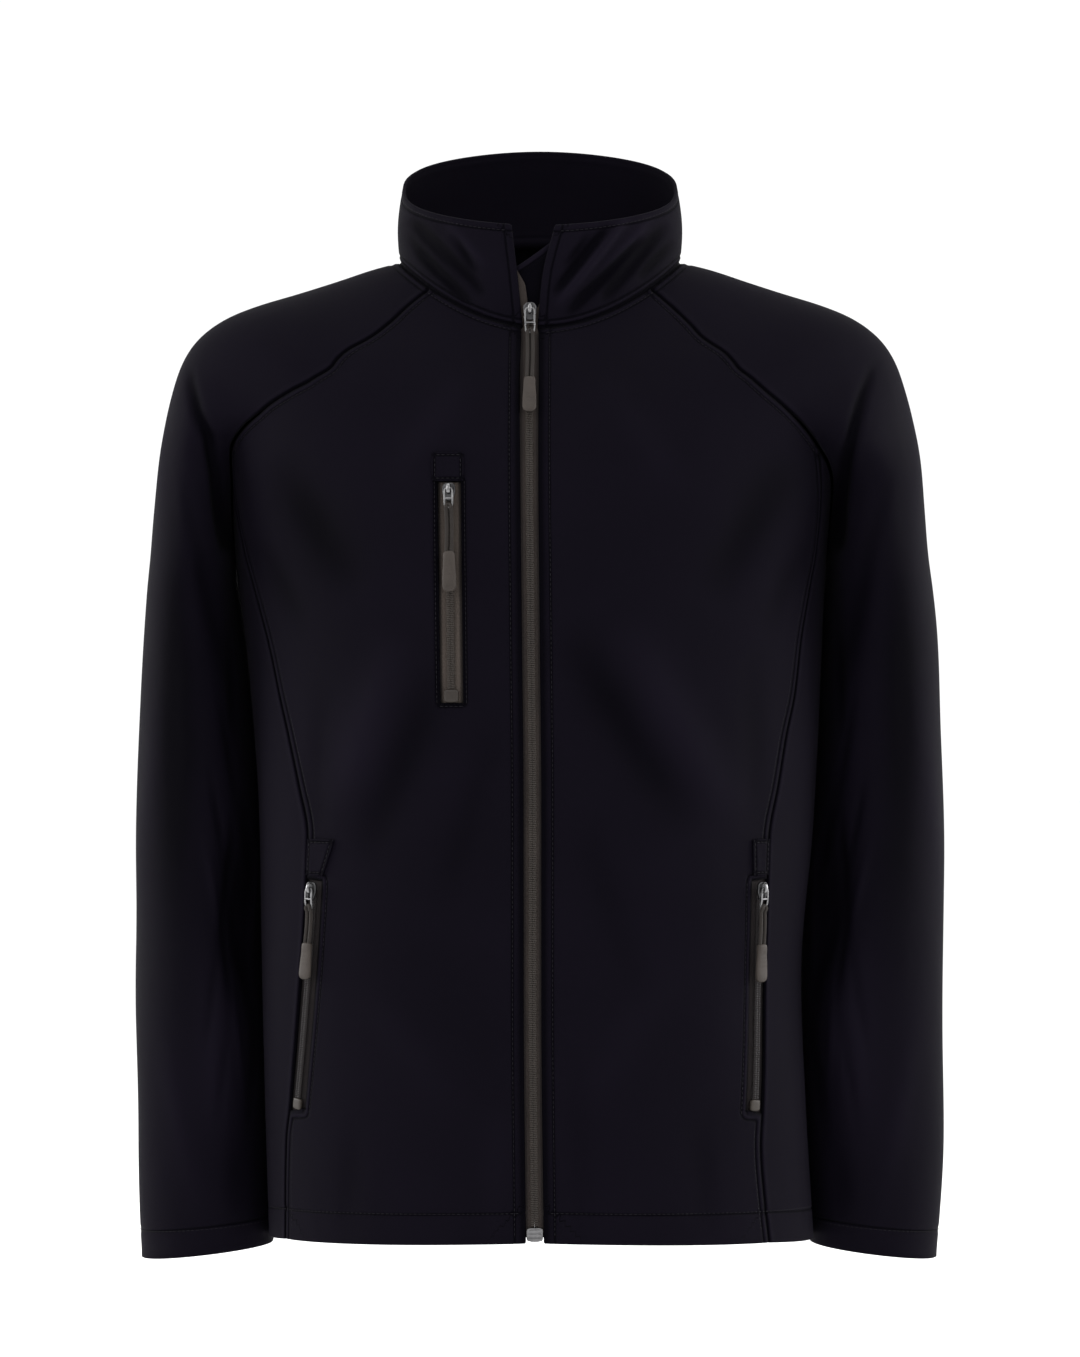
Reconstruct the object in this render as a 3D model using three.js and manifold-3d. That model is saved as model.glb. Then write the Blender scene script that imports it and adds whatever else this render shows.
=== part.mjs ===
// Softshell jacket, filled out as worn with nobody in it: raglan sleeves hanging straight, stand
// collar, full-length front zip, one upright chest pocket and two slanted hand pockets.
// Millimetres, +Z up. The origin is the middle of the neck's base, level with the shoulders' neck
// points. The front faces -Y, and +X is the wearer's left.

import * as THREE from 'three';
import { mergeVertices } from 'three/addons/utils/BufferGeometryUtils.js';
import Module from 'manifold-3d';

// Driving dimensions
const CLOTH = 1.5;              // thickness of the bonded cloth
const COLLAR_CLOTH = 2.4;       // the collar is double cloth
const SEAM_HALF = 0.35;         // half the gap that a seam leaves between two pieces
const MIDDLE_Y = 5;             // the side line of the body, front to back
const ZIP_HALF = 6;             // half the width of zip that shows between the fronts
const HAND_WINDOW = 11;         // width of a hand pocket's zip opening, seen from the front
const TAPE_UNDERLAP = 6;        // how far a zip's tape runs under the cloth
const TAPE_THICK = 0.8;
const TOUCH = 0.3;              // gap between pieces that meet
const SEAT = 0.9;               // gap behind a curved panel, whose facets lie inside its form
const PATCH_THICK = 0.9;        // garage patches
const PATCH_INSET = 0.8;        // a garage's edge inside the princess seam
const SLEEVE_CLEAR = 1.0;       // sleeve to body below the arm
const TURN = Math.PI / 180;

// Rings of the body from the neck seam down. Each has its half-widths, its front and back depth,
// how far its front and back lie below or above its sides, and how square it is (2 is an ellipse).
const BODY_RINGS = [
  { height: 0, right: 101, left: 101, front: -70, back: 62, frontLift: -52, backLift: 20, square: 2.1 },
  { height: -12, right: 137, left: 137, front: -76, back: 72, frontLift: -48, backLift: 23, square: 2.15 },
  { height: -25, right: 175, left: 175, front: -82, back: 81, frontLift: -44, backLift: 27, square: 2.2 },
  { height: -35, right: 206, left: 206, front: -87, back: 87, frontLift: -42, backLift: 29, square: 2.25 },
  { height: -44, right: 226, left: 226, front: -91, back: 92, frontLift: -40, backLift: 29, square: 2.3 },
  { height: -54, right: 238, left: 238, front: -95, back: 96, frontLift: -38, backLift: 27, square: 2.3 },
  { height: -67, right: 243, left: 242, front: -100, back: 101, frontLift: -36, backLift: 24, square: 2.35 },
  { height: -90, right: 238, left: 234, front: -107, back: 107, frontLift: -31, backLift: 20, square: 2.35 },
  { height: -120, right: 230, left: 221, front: -114, back: 112, frontLift: -24, backLift: 14, square: 2.4 },
  { height: -165, right: 223, left: 211, front: -121, back: 116, frontLift: -15, backLift: 8, square: 2.4 },
  { height: -215, right: 219, left: 206, front: -126, back: 116, frontLift: -7, backLift: 3, square: 2.4 },
  { height: -300, right: 209, left: 202, front: -128, back: 112, frontLift: 0, backLift: 0, square: 2.4 },
  { height: -400, right: 202, left: 197, front: -125, back: 105, frontLift: 0, backLift: 0, square: 2.4 },
  { height: -515, right: 200, left: 188, front: -121, back: 104, frontLift: 0, backLift: 0, square: 2.4 },
  { height: -600, right: 198, left: 191, front: -120, back: 110, frontLift: 2, backLift: -1, square: 2.4 },
  { height: -702, right: 195, left: 197, front: -118, back: 116, frontLift: 8, backLift: -4, square: 2.4 },
];
const HEM_HEIGHT = -702;
const BELOW_HEM = 10;           // how far the form is searched below the hem

// Levels at which long pieces end, seen from the front
const FRONT_EDGE = { bottom: -693, top: -52 };
const BACK_EDGE = { bottom: -704, top: -150 };
const FRONT_TAPE = { bottom: -689, top: -56, steps: 22 };
const FRONT_COIL = { bottom: -681, top: -76, steps: 24, upper: [-65, -57, -50.5, -45, -40] };
const NECK_LEVEL = -50;         // the neck seam at the front edges

// The front zip's middle line and the three pocket zips' middle lines, seen from the front
const FRONT_ZIP = [
  { z: 30, x: -7 },
  { z: -35, x: -7 },
  { z: -130, x: -7.5 },
  { z: -274, x: -6.3 },
  { z: -385, x: -5.2 },
  { z: -525, x: -5.2 },
  { z: -700, x: -3.5 },
];
const CHEST_ZIP = [
  { z: -150, x: -63.5 },
  { z: -330, x: -61.5 },
];
const CHEST_WINDOW = { top: -163, bottom: -317, rightEdge: 7.8, leftEdge: 8.2 };
const HAND_TOP = -441;
const HAND_BOTTOM = -605;

// The princess seams' distance from the middle, for each side
const PRINCESS = [
  { z: -137, right: 221, left: 198 },
  { z: -165, right: 219.5, left: 200 },
  { z: -208, right: 211, left: 197 },
  { z: -236, right: 203, left: 192 },
  { z: -274, right: 193, left: 185 },
  { z: -311, right: 185, left: 180 },
  { z: -339, right: 178, left: 174 },
  { z: -375, right: 170, left: 168.5 },
  { z: -411, right: 164, left: 162 },
  { z: -441, right: 164.5, left: 160.5 },
  { z: -605, right: 177.5, left: 156.3 },
  { z: -625, right: 180, left: 155.5 },
  { z: -670, right: 181, left: 159 },
  { z: -697, right: 181, left: 162 },
];
// The back seams, as an angle round the body from the middle of the front
const BACK_SEAM = [
  { z: -150, angle: 108 },
  { z: -240, angle: 114 },
  { z: -400, angle: 122 },
  { z: -704, angle: 127 },
];
// Heights of the panels' rows on the princess seam: a row at each end of the pocket's opening
const PANEL_ROWS = [
  -697, -671, -640, -610, -605, -573, -541, -509, -478, -446, -441,
  -410, -378, -345, -311, -277, -243, -209, -180, -157, -137,
];

// Raglan seams from the neck to where the princess seam starts. Each row is one station of the
// sleeve: the front seam's distance from the middle on each side, and the back seam's.
const RAGLAN = [
  { frontZ: -24, right: 83, left: 83, backZ: 11.5, backRight: 64, backLeft: 64 },
  { frontZ: -35, right: 93, left: 92, backZ: 1, backRight: 77, backLeft: 77 },
  { frontZ: -49, right: 107, left: 106, backZ: -12, backRight: 92, backLeft: 92 },
  { frontZ: -63, right: 126, left: 120, backZ: -28, backRight: 109, backLeft: 109 },
  { frontZ: -78, right: 145, left: 137, backZ: -46, backRight: 128, backLeft: 128 },
  { frontZ: -89, right: 160, left: 149, backZ: -64, backRight: 148, backLeft: 147 },
  { frontZ: -97, right: 175, left: 158, backZ: -81, backRight: 167, backLeft: 165 },
  { frontZ: -106, right: 190, left: 169, backZ: -98, backRight: 184, backLeft: 181 },
  { frontZ: -114, right: 200, left: 178, backZ: -114, backRight: 197, backLeft: 193 },
  { frontZ: -124, right: 212, left: 188, backZ: -131, backRight: 208, backLeft: 201 },
  { frontZ: -137, right: 220, left: 198, backZ: -150, backRight: 215, backLeft: 205 },
];
// The rest of the armhole, under the arm, by the angle round the body
const ARMHOLE = [
  { frontZ: -163, frontAngle: 76, backZ: -173, backAngle: 100 },
  { frontZ: -190, frontAngle: 83, backZ: -195, backAngle: 95 },
  { frontZ: -211, frontAngle: 90, backZ: -211, backAngle: 90 },
];
// The sleeve's outer line over the same stations. handle is how far the cloth bows between the
// outer line and the seam, free how far it has left the body's form, turn which way it then goes.
const SHOULDER = [
  { x: 101, y: 5, z: 0, handle: 17, free: 0, turn: 0 },
  { x: 122, y: 4, z: -5.8, handle: 24, free: 0, turn: 0 },
  { x: 146, y: 3, z: -14, handle: 31, free: 0, turn: 0 },
  { x: 175, y: 2, z: -23.4, handle: 37, free: 0, turn: 0 },
  { x: 203, y: 1, z: -32, handle: 42, free: 0, turn: 0 },
  { x: 223, y: 0, z: -40.2, handle: 44, free: 0, turn: 0 },
  { x: 238, y: 0, z: -49.8, handle: 45, free: 0, turn: 0 },
  { x: 249, y: 0, z: -61, handle: 45, free: 0.25, turn: 0 },
  { x: 257, y: 1, z: -75, handle: 44, free: 0.55, turn: 15 },
  { x: 263, y: 1, z: -94, handle: 44, free: 0.8, turn: 35 },
  { x: 269, y: 2, z: -119, handle: 50, free: 1, turn: 55 },
  { x: 274, y: 3, z: -147, handle: 66, free: 1, turn: 72 },
  { x: 277, y: 3, z: -178, handle: 86, free: 1, turn: 84 },
  { x: 279.5, y: 4, z: -208, handle: 102, free: 1, turn: 90 },
];
// The sleeve as a tube from the arm's inner seam down: its outer edge, the nearest its inner edge
// comes to the middle, how far back the inner seam and the sleeve's middle lie, its depth half
// front to back, and how far the inner seam is raised
const SLEEVE_TUBE = [
  { z: -208, outer: 279.5, inner: 205, seam: 6, middle: 6, half: 77, raise: -3 },
  { z: -240, outer: 283.4, inner: 200, seam: 28, middle: 10.5, half: 76, raise: -1 },
  { z: -286, outer: 287.2, inner: 196, seam: 33, middle: 19, half: 74, raise: 0 },
  { z: -372, outer: 292.1, inner: 190, seam: 37, middle: 32, half: 69, raise: 0 },
  { z: -438, outer: 293.8, inner: 186, seam: 39, middle: 38, half: 65, raise: 0 },
  { z: -520, outer: 293.9, inner: 182, seam: 39, middle: 39, half: 59, raise: 0 },
  { z: -633, outer: 292.8, inner: 186, seam: 36, middle: 36, half: 51, raise: 2 },
  { z: -690, outer: 290.5, inner: 190, seam: 33, middle: 33, half: 46.5, raise: 7 },
  { z: -719, outer: 288.5, inner: 190, seam: 32, middle: 32, half: 45, raise: 11 },
];
const TUBE_ROWS = [
  -232, -260, -292, -326, -360, -394, -428, -462, -498, -536, -576, -616, -654, -688, -719,
];
const HALF_ROUND = 4 / 3;       // handle of a curve that rounds a half ellipse, by its depth
const SLEEVE_STEPS = 10;        // steps from the outer line to each seam

// The collar stands on the neck seam. Its rim is a tilted oval.
const RIM = { half: 98.9, front: -67, back: 58, middle: 2, height: 52.5, tilt: 32.5, square: 2.35 };
const COLLAR_BOW = 2.5;         // how far the collar's middle stands out
const COLLAR_EDGES = [
  { up: 0, right: -7.4, left: -0.6 },
  { up: 0.5, right: -9.4, left: 1.3 },
  { up: 1, right: -12, left: 6.4 },
];
const COLLAR_COLUMNS = 30;
const COLLAR_ROWS = [0, 0.2, 0.4, 0.6, 0.8, 1];
const NECK_COLUMNS = 4;         // panel columns along the neck seam, for each front
const BACK_NECK_COLUMNS = 6;    // and for the back

// Largest folds, each a soft ridge or trough (negative) along a line, seen from the front or back
const FRONT_FOLDS = [
  { x0: -98, z0: -275, x1: -140, z1: -385, width: 17, depth: 3 },
  { x0: -70, z0: -300, x1: -120, z1: -420, width: 15, depth: -2.5 },
  { x0: 22, z0: -272, x1: 98, z1: -398, width: 16, depth: -3 },
  { x0: 60, z0: -268, x1: 132, z1: -392, width: 16, depth: 2.5 },
  { x0: -182, z0: -150, x1: -130, z1: -235, width: 16, depth: -3 },
  { x0: 170, z0: -150, x1: 122, z1: -240, width: 16, depth: -3 },
];
const BACK_FOLDS = [
  { x0: -165, z0: -140, x1: -110, z1: -250, width: 18, depth: -3.5 },
  { x0: 165, z0: -140, x1: 108, z1: -255, width: 18, depth: -3.5 },
  { x0: -140, z0: -395, x1: 20, z1: -430, width: 20, depth: -3 },
  { x0: 145, z0: -430, x1: -10, z1: -470, width: 20, depth: -3 },
];
const COLLAR_FOLDS = [
  { x0: -80, z0: 14, x1: -48, z1: -14, width: 7, depth: -1.6 },
  { x0: 40, z0: 12, x1: 16, z1: -20, width: 7, depth: -1.8 },
  { x0: 63, z0: 0, x1: 25, z1: -34, width: 7, depth: -1.6 },
];
// Sleeve folds, by height and by the place round the sleeve (0 front seam, 0.5 outer line, 1 back)
const SLEEVE_FOLDS = [
  { z: -330, around: 0.3, tall: 130, wide: 0.06, depth: -3 },
  { z: -470, around: 0.14, tall: 50, wide: 0.05, depth: -3 },
  { z: -560, around: 0.2, tall: 60, wide: 0.05, depth: 2.5 },
  { z: -440, around: 0.8, tall: 70, wide: 0.07, depth: 3 },
  { z: -180, around: 0.8, tall: 90, wide: 0.08, depth: -4 },
];

// Zip hardware, along the zip (tall), across it (wide) and out from the cloth
const SLIDER = { tall: 13, wide: 9, thick: 2.4, lift: 1.1 };
const BRIDGE = { half: 1.2, reach: 3.4, post: 1.1, under: 1.25, thick: 1 };
const TAB = { thick: 1.1, above: 0.7, bar: 1.3, crossAt: 0.52 };
const CORD = { thick: 2.2, spread: 2.1 };
const TIP = { wide: 9.6, thick: 4.2 };
const HINGE_OUT = 5;            // the pull's axis, out from the cloth
const HINGE_UP = 2;             // and up from the slider's middle
const ZIPS = [
  {
    name: 'zip', sliderZ: -41, tab: 19.6, tabHalf: 3.9, cord: 30, tip: 25,
    stopZ: -687, stopTall: 10, stopWide: 11.5,
  },
  {
    name: 'chest', sliderZ: -170.5, tab: 13.5, tabHalf: 3.4, cord: 29, tip: 28,
    stopZ: -312, stopTall: 9, stopWide: 10,
  },
  {
    name: 'right', sliderZ: -449, tab: 14.5, tabHalf: 3.4, cord: 23, tip: 26,
    stopZ: -600, stopTall: 8, stopWide: 8,
  },
  {
    name: 'left', sliderZ: -449, tab: 14.5, tabHalf: 3.4, cord: 24, tip: 27,
    stopZ: -600, stopTall: 8, stopWide: 8,
  },
];

const CLOTH_LOOK = { color: 0x121116, roughness: 0.85, metalness: 0 };
const TAPE_LOOK = { color: 0x3e3732, roughness: 0.9, metalness: 0 };
const COIL_LOOK = { color: 0x2a2524, roughness: 0.6, metalness: 0 };
const METAL_LOOK = { color: 0x4c4c50, roughness: 0.35, metalness: 0.9 };
const TIP_LOOK = { color: 0x58524c, roughness: 0.6, metalness: 0 };

const group = new THREE.Group();

// A smooth curve through one column of a table, which never runs past its own values
function column(rows, key, name) {
  const sorted = [...rows].sort((a, b) => a[key] - b[key]);
  const at = sorted.map((row) => row[key]);
  const value = sorted.map((row) => row[name]);
  const last = at.length - 1;
  const slope = at.slice(1).map((x, i) => (value[i + 1] - value[i]) / (x - at[i]));
  const lean = at.map((x, i) => {
    if (i === 0) return slope[0];
    if (i === last) return slope[last - 1];
    const product = slope[i - 1] * slope[i];
    return product <= 0 ? 0 : (2 * product) / (slope[i - 1] + slope[i]);
  });
  return (x) => {
    if (x <= at[0]) return value[0];
    if (x >= at[last]) return value[last];
    let i = 0;
    while (x > at[i + 1]) i += 1;
    const span = at[i + 1] - at[i];
    const t = (x - at[i]) / span;
    const rest = 1 - t;
    return value[i] * (1 + 2 * t) * rest * rest + value[i + 1] * t * t * (3 - 2 * t)
      + span * (lean[i] * t * rest * rest - lean[i + 1] * t * t * rest);
  };
}

function columns(rows, key, names) {
  return Object.fromEntries(names.map((name) => [name, column(rows, key, name)]));
}

function mix(a, b, t) {
  return a + (b - a) * t;
}

// The value between low and high where a rising function reaches its target
function solve(rising, target, low, high) {
  let bottom = low;
  let top = high;
  for (let i = 0; i < 40; i += 1) {
    const middle = (bottom + top) / 2;
    if (rising(middle) < target) bottom = middle;
    else top = middle;
  }
  return (bottom + top) / 2;
}

const ring = columns(BODY_RINGS, 'height', [
  'right', 'left', 'front', 'back', 'frontLift', 'backLift', 'square',
]);

// How far out an oval of unit half-widths lies at an angle
function ovalRadius(angle, square) {
  return (Math.abs(Math.sin(angle)) ** square + Math.abs(Math.cos(angle)) ** square) ** (-1 / square);
}

// The body's plain form. The angle is 0 at the middle of the front and rises towards +X.
function formPoint(angle, height) {
  const sine = Math.sin(angle);
  const cosine = Math.cos(angle);
  const radius = ovalRadius(angle, ring.square(height));
  const half = sine < 0 ? ring.right(height) : ring.left(height);
  const depth = cosine > 0 ? MIDDLE_Y - ring.front(height) : ring.back(height) - MIDDLE_Y;
  const lift = cosine > 0 ? ring.frontLift(height) : ring.backLift(height);
  const y = MIDDLE_Y - depth * radius * cosine;
  return new THREE.Vector3(half * radius * sine, y, height + lift * cosine ** 2);
}

// The soft folds' depth at a point of the front or back view
function foldDepth(folds, x, z) {
  let depth = 0;
  for (const fold of folds) {
    const alongX = fold.x1 - fold.x0;
    const alongZ = fold.z1 - fold.z0;
    const length = Math.hypot(alongX, alongZ);
    const along = ((x - fold.x0) * alongX + (z - fold.z0) * alongZ) / length ** 2;
    const across = ((x - fold.x0) * alongZ - (z - fold.z0) * alongX) / length;
    const taper = Math.max(0, 1 - (2 * along - 1) ** 2 / 1.4);
    depth += fold.depth * taper * Math.exp(-((across / fold.width) ** 2));
  }
  return depth;
}

function normalOf(point, angle, height) {
  const across = point(angle + 0.002, height).sub(point(angle - 0.002, height));
  const up = point(angle, height + 0.3).sub(point(angle, height - 0.3));
  return across.cross(up).normalize();
}

// A point of the body's cloth, moved out from it
function body(angle, height, out = 0) {
  const point = formPoint(angle, height);
  const folds = Math.cos(angle) > 0 ? FRONT_FOLDS : BACK_FOLDS;
  const normal = normalOf(formPoint, angle, height);
  return point.addScaledVector(normal, out + foldDepth(folds, point.x, point.z));
}

// The ring's height at which the form reaches a level z, at an angle round it
function heightAt(angle, z) {
  return solve((height) => formPoint(angle, height).z, z, HEM_HEIGHT - BELOW_HEM, 0);
}

// The angle and height of the front's or back's point that shows at x, z
function locate(x, z, atBack = false) {
  const angleFor = (height) => {
    const found = solve((angle) => formPoint(angle, height).x, x, -Math.PI / 2, Math.PI / 2);
    if (!atBack) return found;
    const behind = (angle) => formPoint(Math.PI - angle, height).x;
    return Math.PI - solve(behind, x, -Math.PI / 2, Math.PI / 2);
  };
  const height = solve((level) => formPoint(angleFor(level), level).z, z, HEM_HEIGHT - BELOW_HEM, 0);
  return { angle: angleFor(height), height };
}

// A closed solid between two grids of points, the outer and the inner side of a wall
function wall(outer, inner) {
  const rows = outer.length;
  const cells = outer[0].length;
  const positions = [];
  for (const side of [outer, inner]) {
    for (const row of side) for (const point of row) positions.push(point.x, point.y, point.z);
  }
  const at = (side, row, cell) => (side * rows + row) * cells + cell;
  const faces = [];
  const quad = (a, b, c, d) => faces.push(a, b, c, a, c, d);
  for (let r = 0; r < rows - 1; r += 1) {
    for (let c = 0; c < cells - 1; c += 1) {
      quad(at(0, r, c), at(0, r, c + 1), at(0, r + 1, c + 1), at(0, r + 1, c));
      quad(at(1, r, c), at(1, r + 1, c), at(1, r + 1, c + 1), at(1, r, c + 1));
    }
    quad(at(0, r, 0), at(0, r + 1, 0), at(1, r + 1, 0), at(1, r, 0));
    quad(at(0, r, cells - 1), at(1, r, cells - 1), at(1, r + 1, cells - 1), at(0, r + 1, cells - 1));
  }
  for (let c = 0; c < cells - 1; c += 1) {
    quad(at(0, 0, c), at(1, 0, c), at(1, 0, c + 1), at(0, 0, c + 1));
    quad(at(0, rows - 1, c), at(0, rows - 1, c + 1), at(1, rows - 1, c + 1), at(1, rows - 1, c));
  }
  return closed(positions, faces);
}

// A geometry from points and faces, turned so that its faces point out
function closed(positions, faces) {
  let volume = 0;
  const corner = (i) => new THREE.Vector3().fromArray(positions, faces[i] * 3);
  for (let i = 0; i < faces.length; i += 3) volume += corner(i).dot(corner(i + 1).cross(corner(i + 2)));
  if (volume < 0) {
    for (let i = 0; i < faces.length; i += 3) [faces[i + 1], faces[i + 2]] = [faces[i + 2], faces[i + 1]];
  }
  const geometry = new THREE.BufferGeometry();
  geometry.setAttribute('position', new THREE.Float32BufferAttribute(positions, 3));
  geometry.setIndex(faces);
  return geometry;
}

// The inner side of a grid: each point moved in along the grid's own normal. side turns it round.
function innerSide(outer, thickness, side) {
  const rows = outer.length - 1;
  const cells = outer[0].length - 1;
  return outer.map((row, r) => row.map((point, c) => {
    const along = outer[Math.min(r + 1, rows)][c].clone().sub(outer[Math.max(r - 1, 0)][c]);
    const across = row[Math.min(c + 1, cells)].clone().sub(row[Math.max(c - 1, 0)]);
    return point.clone().addScaledVector(across.cross(along).normalize(), -side * thickness);
  }));
}

// A closed solid through rings of points, with flat ends
function loft(rings) {
  const count = rings[0].length;
  const positions = rings.flat().flatMap((point) => [point.x, point.y, point.z]);
  const faces = [];
  for (let r = 0; r < rings.length - 1; r += 1) {
    for (let i = 0; i < count; i += 1) {
      const next = (i + 1) % count;
      const low = r * count;
      const high = low + count;
      faces.push(low + i, low + next, high + next, low + i, high + next, high + i);
    }
  }
  const lastRing = (rings.length - 1) * count;
  for (let i = 1; i < count - 1; i += 1) {
    faces.push(0, i + 1, i, lastRing, lastRing + i, lastRing + i + 1);
  }
  return closed(positions, faces);
}

function add(name, geometry, look) {
  const mesh = new THREE.Mesh(geometry, new THREE.MeshStandardMaterial(look));
  geometry.computeVertexNormals();
  mesh.name = name;
  group.add(mesh);
}

// Seams as points of the body's form (angle, height)
const princess = columns(PRINCESS, 'z', ['right', 'left']);
const backSeamAngle = column(BACK_SEAM, 'z', 'angle');
const zipX = column(FRONT_ZIP, 'z', 'x');

const SIDES = [
  { name: 'right', back: 'backRight', sign: -1 },
  { name: 'left', back: 'backLeft', sign: 1 },
];

// The armhole of one side: the front and back seam at each of the sleeve's stations, each with the
// step across the seam that a panel's edge takes from it, and a sleeve's edge the other way
function armhole(side) {
  const seen = RAGLAN.map((row) => ({
    front: locate(side.sign * row[side.name], row.frontZ),
    back: locate(side.sign * row[side.back], row.backZ, true),
  }));
  const hidden = ARMHOLE.map((row) => {
    const frontAngle = side.sign * row.frontAngle * TURN;
    const backAngle = side.sign * row.backAngle * TURN;
    return {
      front: { angle: frontAngle, height: heightAt(frontAngle, row.frontZ) },
      back: { angle: backAngle, height: heightAt(backAngle, row.backZ) },
    };
  });
  const stations = [...seen, ...hidden];
  for (const station of stations) {
    if (station.back.angle * side.sign < 0) station.back.angle += side.sign * 2 * Math.PI;
  }
  stations[0].front.height = 0;
  stations[0].back.height = 0;
  const backs = stations.slice(0, -1).map((station) => station.back).reverse();
  const loop = [...stations.map((station) => station.front), ...backs];
  const spots = loop.map((place) => body(place.angle, place.height));
  loop.forEach((place, i) => {
    const along = spots[Math.min(i + 1, loop.length - 1)].clone().sub(spots[Math.max(i - 1, 0)]);
    const normal = normalOf(formPoint, place.angle, place.height);
    place.toPanel = along.cross(normal).multiplyScalar(side.sign).setLength(SEAM_HALF);
  });
  stations[stations.length - 1].back.toPanel = stations[stations.length - 1].front.toPanel;
  return stations;
}

// The rows of a vertical seam as shares of its length
const lowestRow = PANEL_ROWS[0];
const highestRow = PANEL_ROWS[PANEL_ROWS.length - 1];
const rowShare = PANEL_ROWS.map((z) => (z - lowestRow) / (highestRow - lowestRow));

// Between its edges a panel is spread in the view that shows it best: front and back panels by
// x and z, and side panels by the angle and height on the form.
const VIEWS = {
  front: { keys: ['x', 'z'], place: (spot) => locate(spot.x, spot.z) },
  back: { keys: ['x', 'z'], place: (spot) => locate(spot.x, spot.z, true) },
  side: { keys: ['angle', 'height'], place: (spot) => spot },
};

// A panel between its four edges. It stops short at its seams.
function panel(start, end, top, view) {
  const { keys, place } = VIEWS[view];
  const spotOf = (edge) => ({ ...edge, ...formPoint(edge.angle, edge.height) });
  const low = spotOf(start[0]);
  const lowEnd = spotOf(end[0]);
  const high = spotOf(top[0]);
  const last = top.length - 1;
  const rows = start.length - 1;
  const highEnd = spotOf(top[last]);
  const between = (r, c) => {
    const t = rowShare[r];
    const above = spotOf(top[c]);
    const s = view === 'side' ? c / last : (above.x - high.x) / (highEnd.x - high.x);
    const left = spotOf(start[r]);
    const right = spotOf(end[r]);
    return place(Object.fromEntries(keys.map((key) => {
      const bottom = mix(low[key], lowEnd[key], s);
      const corners = mix(bottom, mix(high[key], highEnd[key], s), t);
      return [key, mix(bottom, above[key], t) + mix(left[key], right[key], s) - corners];
    })));
  };
  const grid = start.map((_, r) => top.map((_, c) => {
    if (r === rows) return top[c];
    if (c === 0) return start[r];
    return c === last ? end[r] : between(r, c);
  }));
  const shortOf = (edge, r, c) => {
    const point = formPoint(edge.angle, edge.height);
    const turn = Math.sign(top[last].angle - top[0].angle) * (SEAM_HALF / Math.hypot(point.x, point.y));
    const angle = edge.angle + (c === 0 ? turn : 0) - (c === last ? turn : 0);
    const atNeck = r === rows && edge.height > -1;
    return { angle, height: edge.height - (atNeck ? SEAM_HALF : 0), toPanel: edge.toPanel };
  };
  const short = grid.map((row, r) => row.map((edge, c) => shortOf(edge, r, c)));
  const face = (out) => short.map((row) => row.map((edge) => {
    const point = body(edge.angle, edge.height, out);
    return edge.toPanel ? point.add(edge.toPanel) : point;
  }));
  return wall(face(0), face(-CLOTH));
}

// A front panel's own edges
function zipEdge(side, top) {
  return rowShare.map((t) => {
    const z = mix(FRONT_EDGE.bottom, FRONT_EDGE.top, t);
    return t === 1 ? top : locate(zipX(z) + side.sign * ZIP_HALF, z);
  });
}

// The princess seam of one side. The front's own edge is cut back along the pocket's zip.
function princessEdge(side, top, cutBack) {
  return PANEL_ROWS.map((z, r) => {
    const inOpening = z < HAND_TOP - 1 && z > HAND_BOTTOM - 1;
    const cut = cutBack && inOpening ? HAND_WINDOW : 0;
    return r === PANEL_ROWS.length - 1 ? top : locate(side.sign * (princess[side.name](z) - cut), z);
  });
}

function backEdge(side, top) {
  const rows = rowShare.map((t) => {
    const z = mix(BACK_EDGE.bottom, BACK_EDGE.top, t);
    const angle = side.sign * backSeamAngle(z) * TURN;
    return { angle, height: heightAt(angle, z) };
  });
  rows[rows.length - 1] = top;
  return rows;
}

// The chest pocket's opening is cut through the right front
const wasm = await Module();
wasm.setup();

function solidOf(geometry) {
  const plain = geometry.clone();
  plain.deleteAttribute('normal');
  plain.deleteAttribute('uv');
  const merged = mergeVertices(plain, 1e-4);
  return new wasm.Manifold(new wasm.Mesh({
    numProp: 3,
    vertProperties: new Float32Array(merged.attributes.position.array),
    triVerts: new Uint32Array(merged.index.array),
  }));
}

function geometryOf(solid) {
  const mesh = solid.getMesh();
  return closed([...mesh.vertProperties], [...mesh.triVerts]);
}

function onFront(x, z, out) {
  const place = locate(x, z);
  return body(place.angle, place.height, out);
}

// A patch that follows the front between two upright edges and two levels
function frontSheet(leftX, rightX, zs, across, nearOut, farOut) {
  const face = (out) => zs.map((z) => Array.from({ length: across + 1 }, (_, c) => (
    onFront(mix(leftX(z), rightX(z), c / across), z, out))));
  return wall(face(nearOut), face(farOut));
}

function levels(from, to, count) {
  return Array.from({ length: count + 1 }, (_, i) => mix(from, to, i / count));
}

const chestX = column(CHEST_ZIP, 'z', 'x');
const chestCutter = frontSheet(
  (z) => chestX(z) - CHEST_WINDOW.rightEdge,
  (z) => chestX(z) + CHEST_WINDOW.leftEdge,
  levels(CHEST_WINDOW.bottom, CHEST_WINDOW.top, 8), 2, CLOTH * 3, -CLOTH * 4,
);

const armholes = Object.fromEntries(SIDES.map((side) => [side.name, armhole(side)]));
const princessTop = RAGLAN.length - 1;

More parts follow.
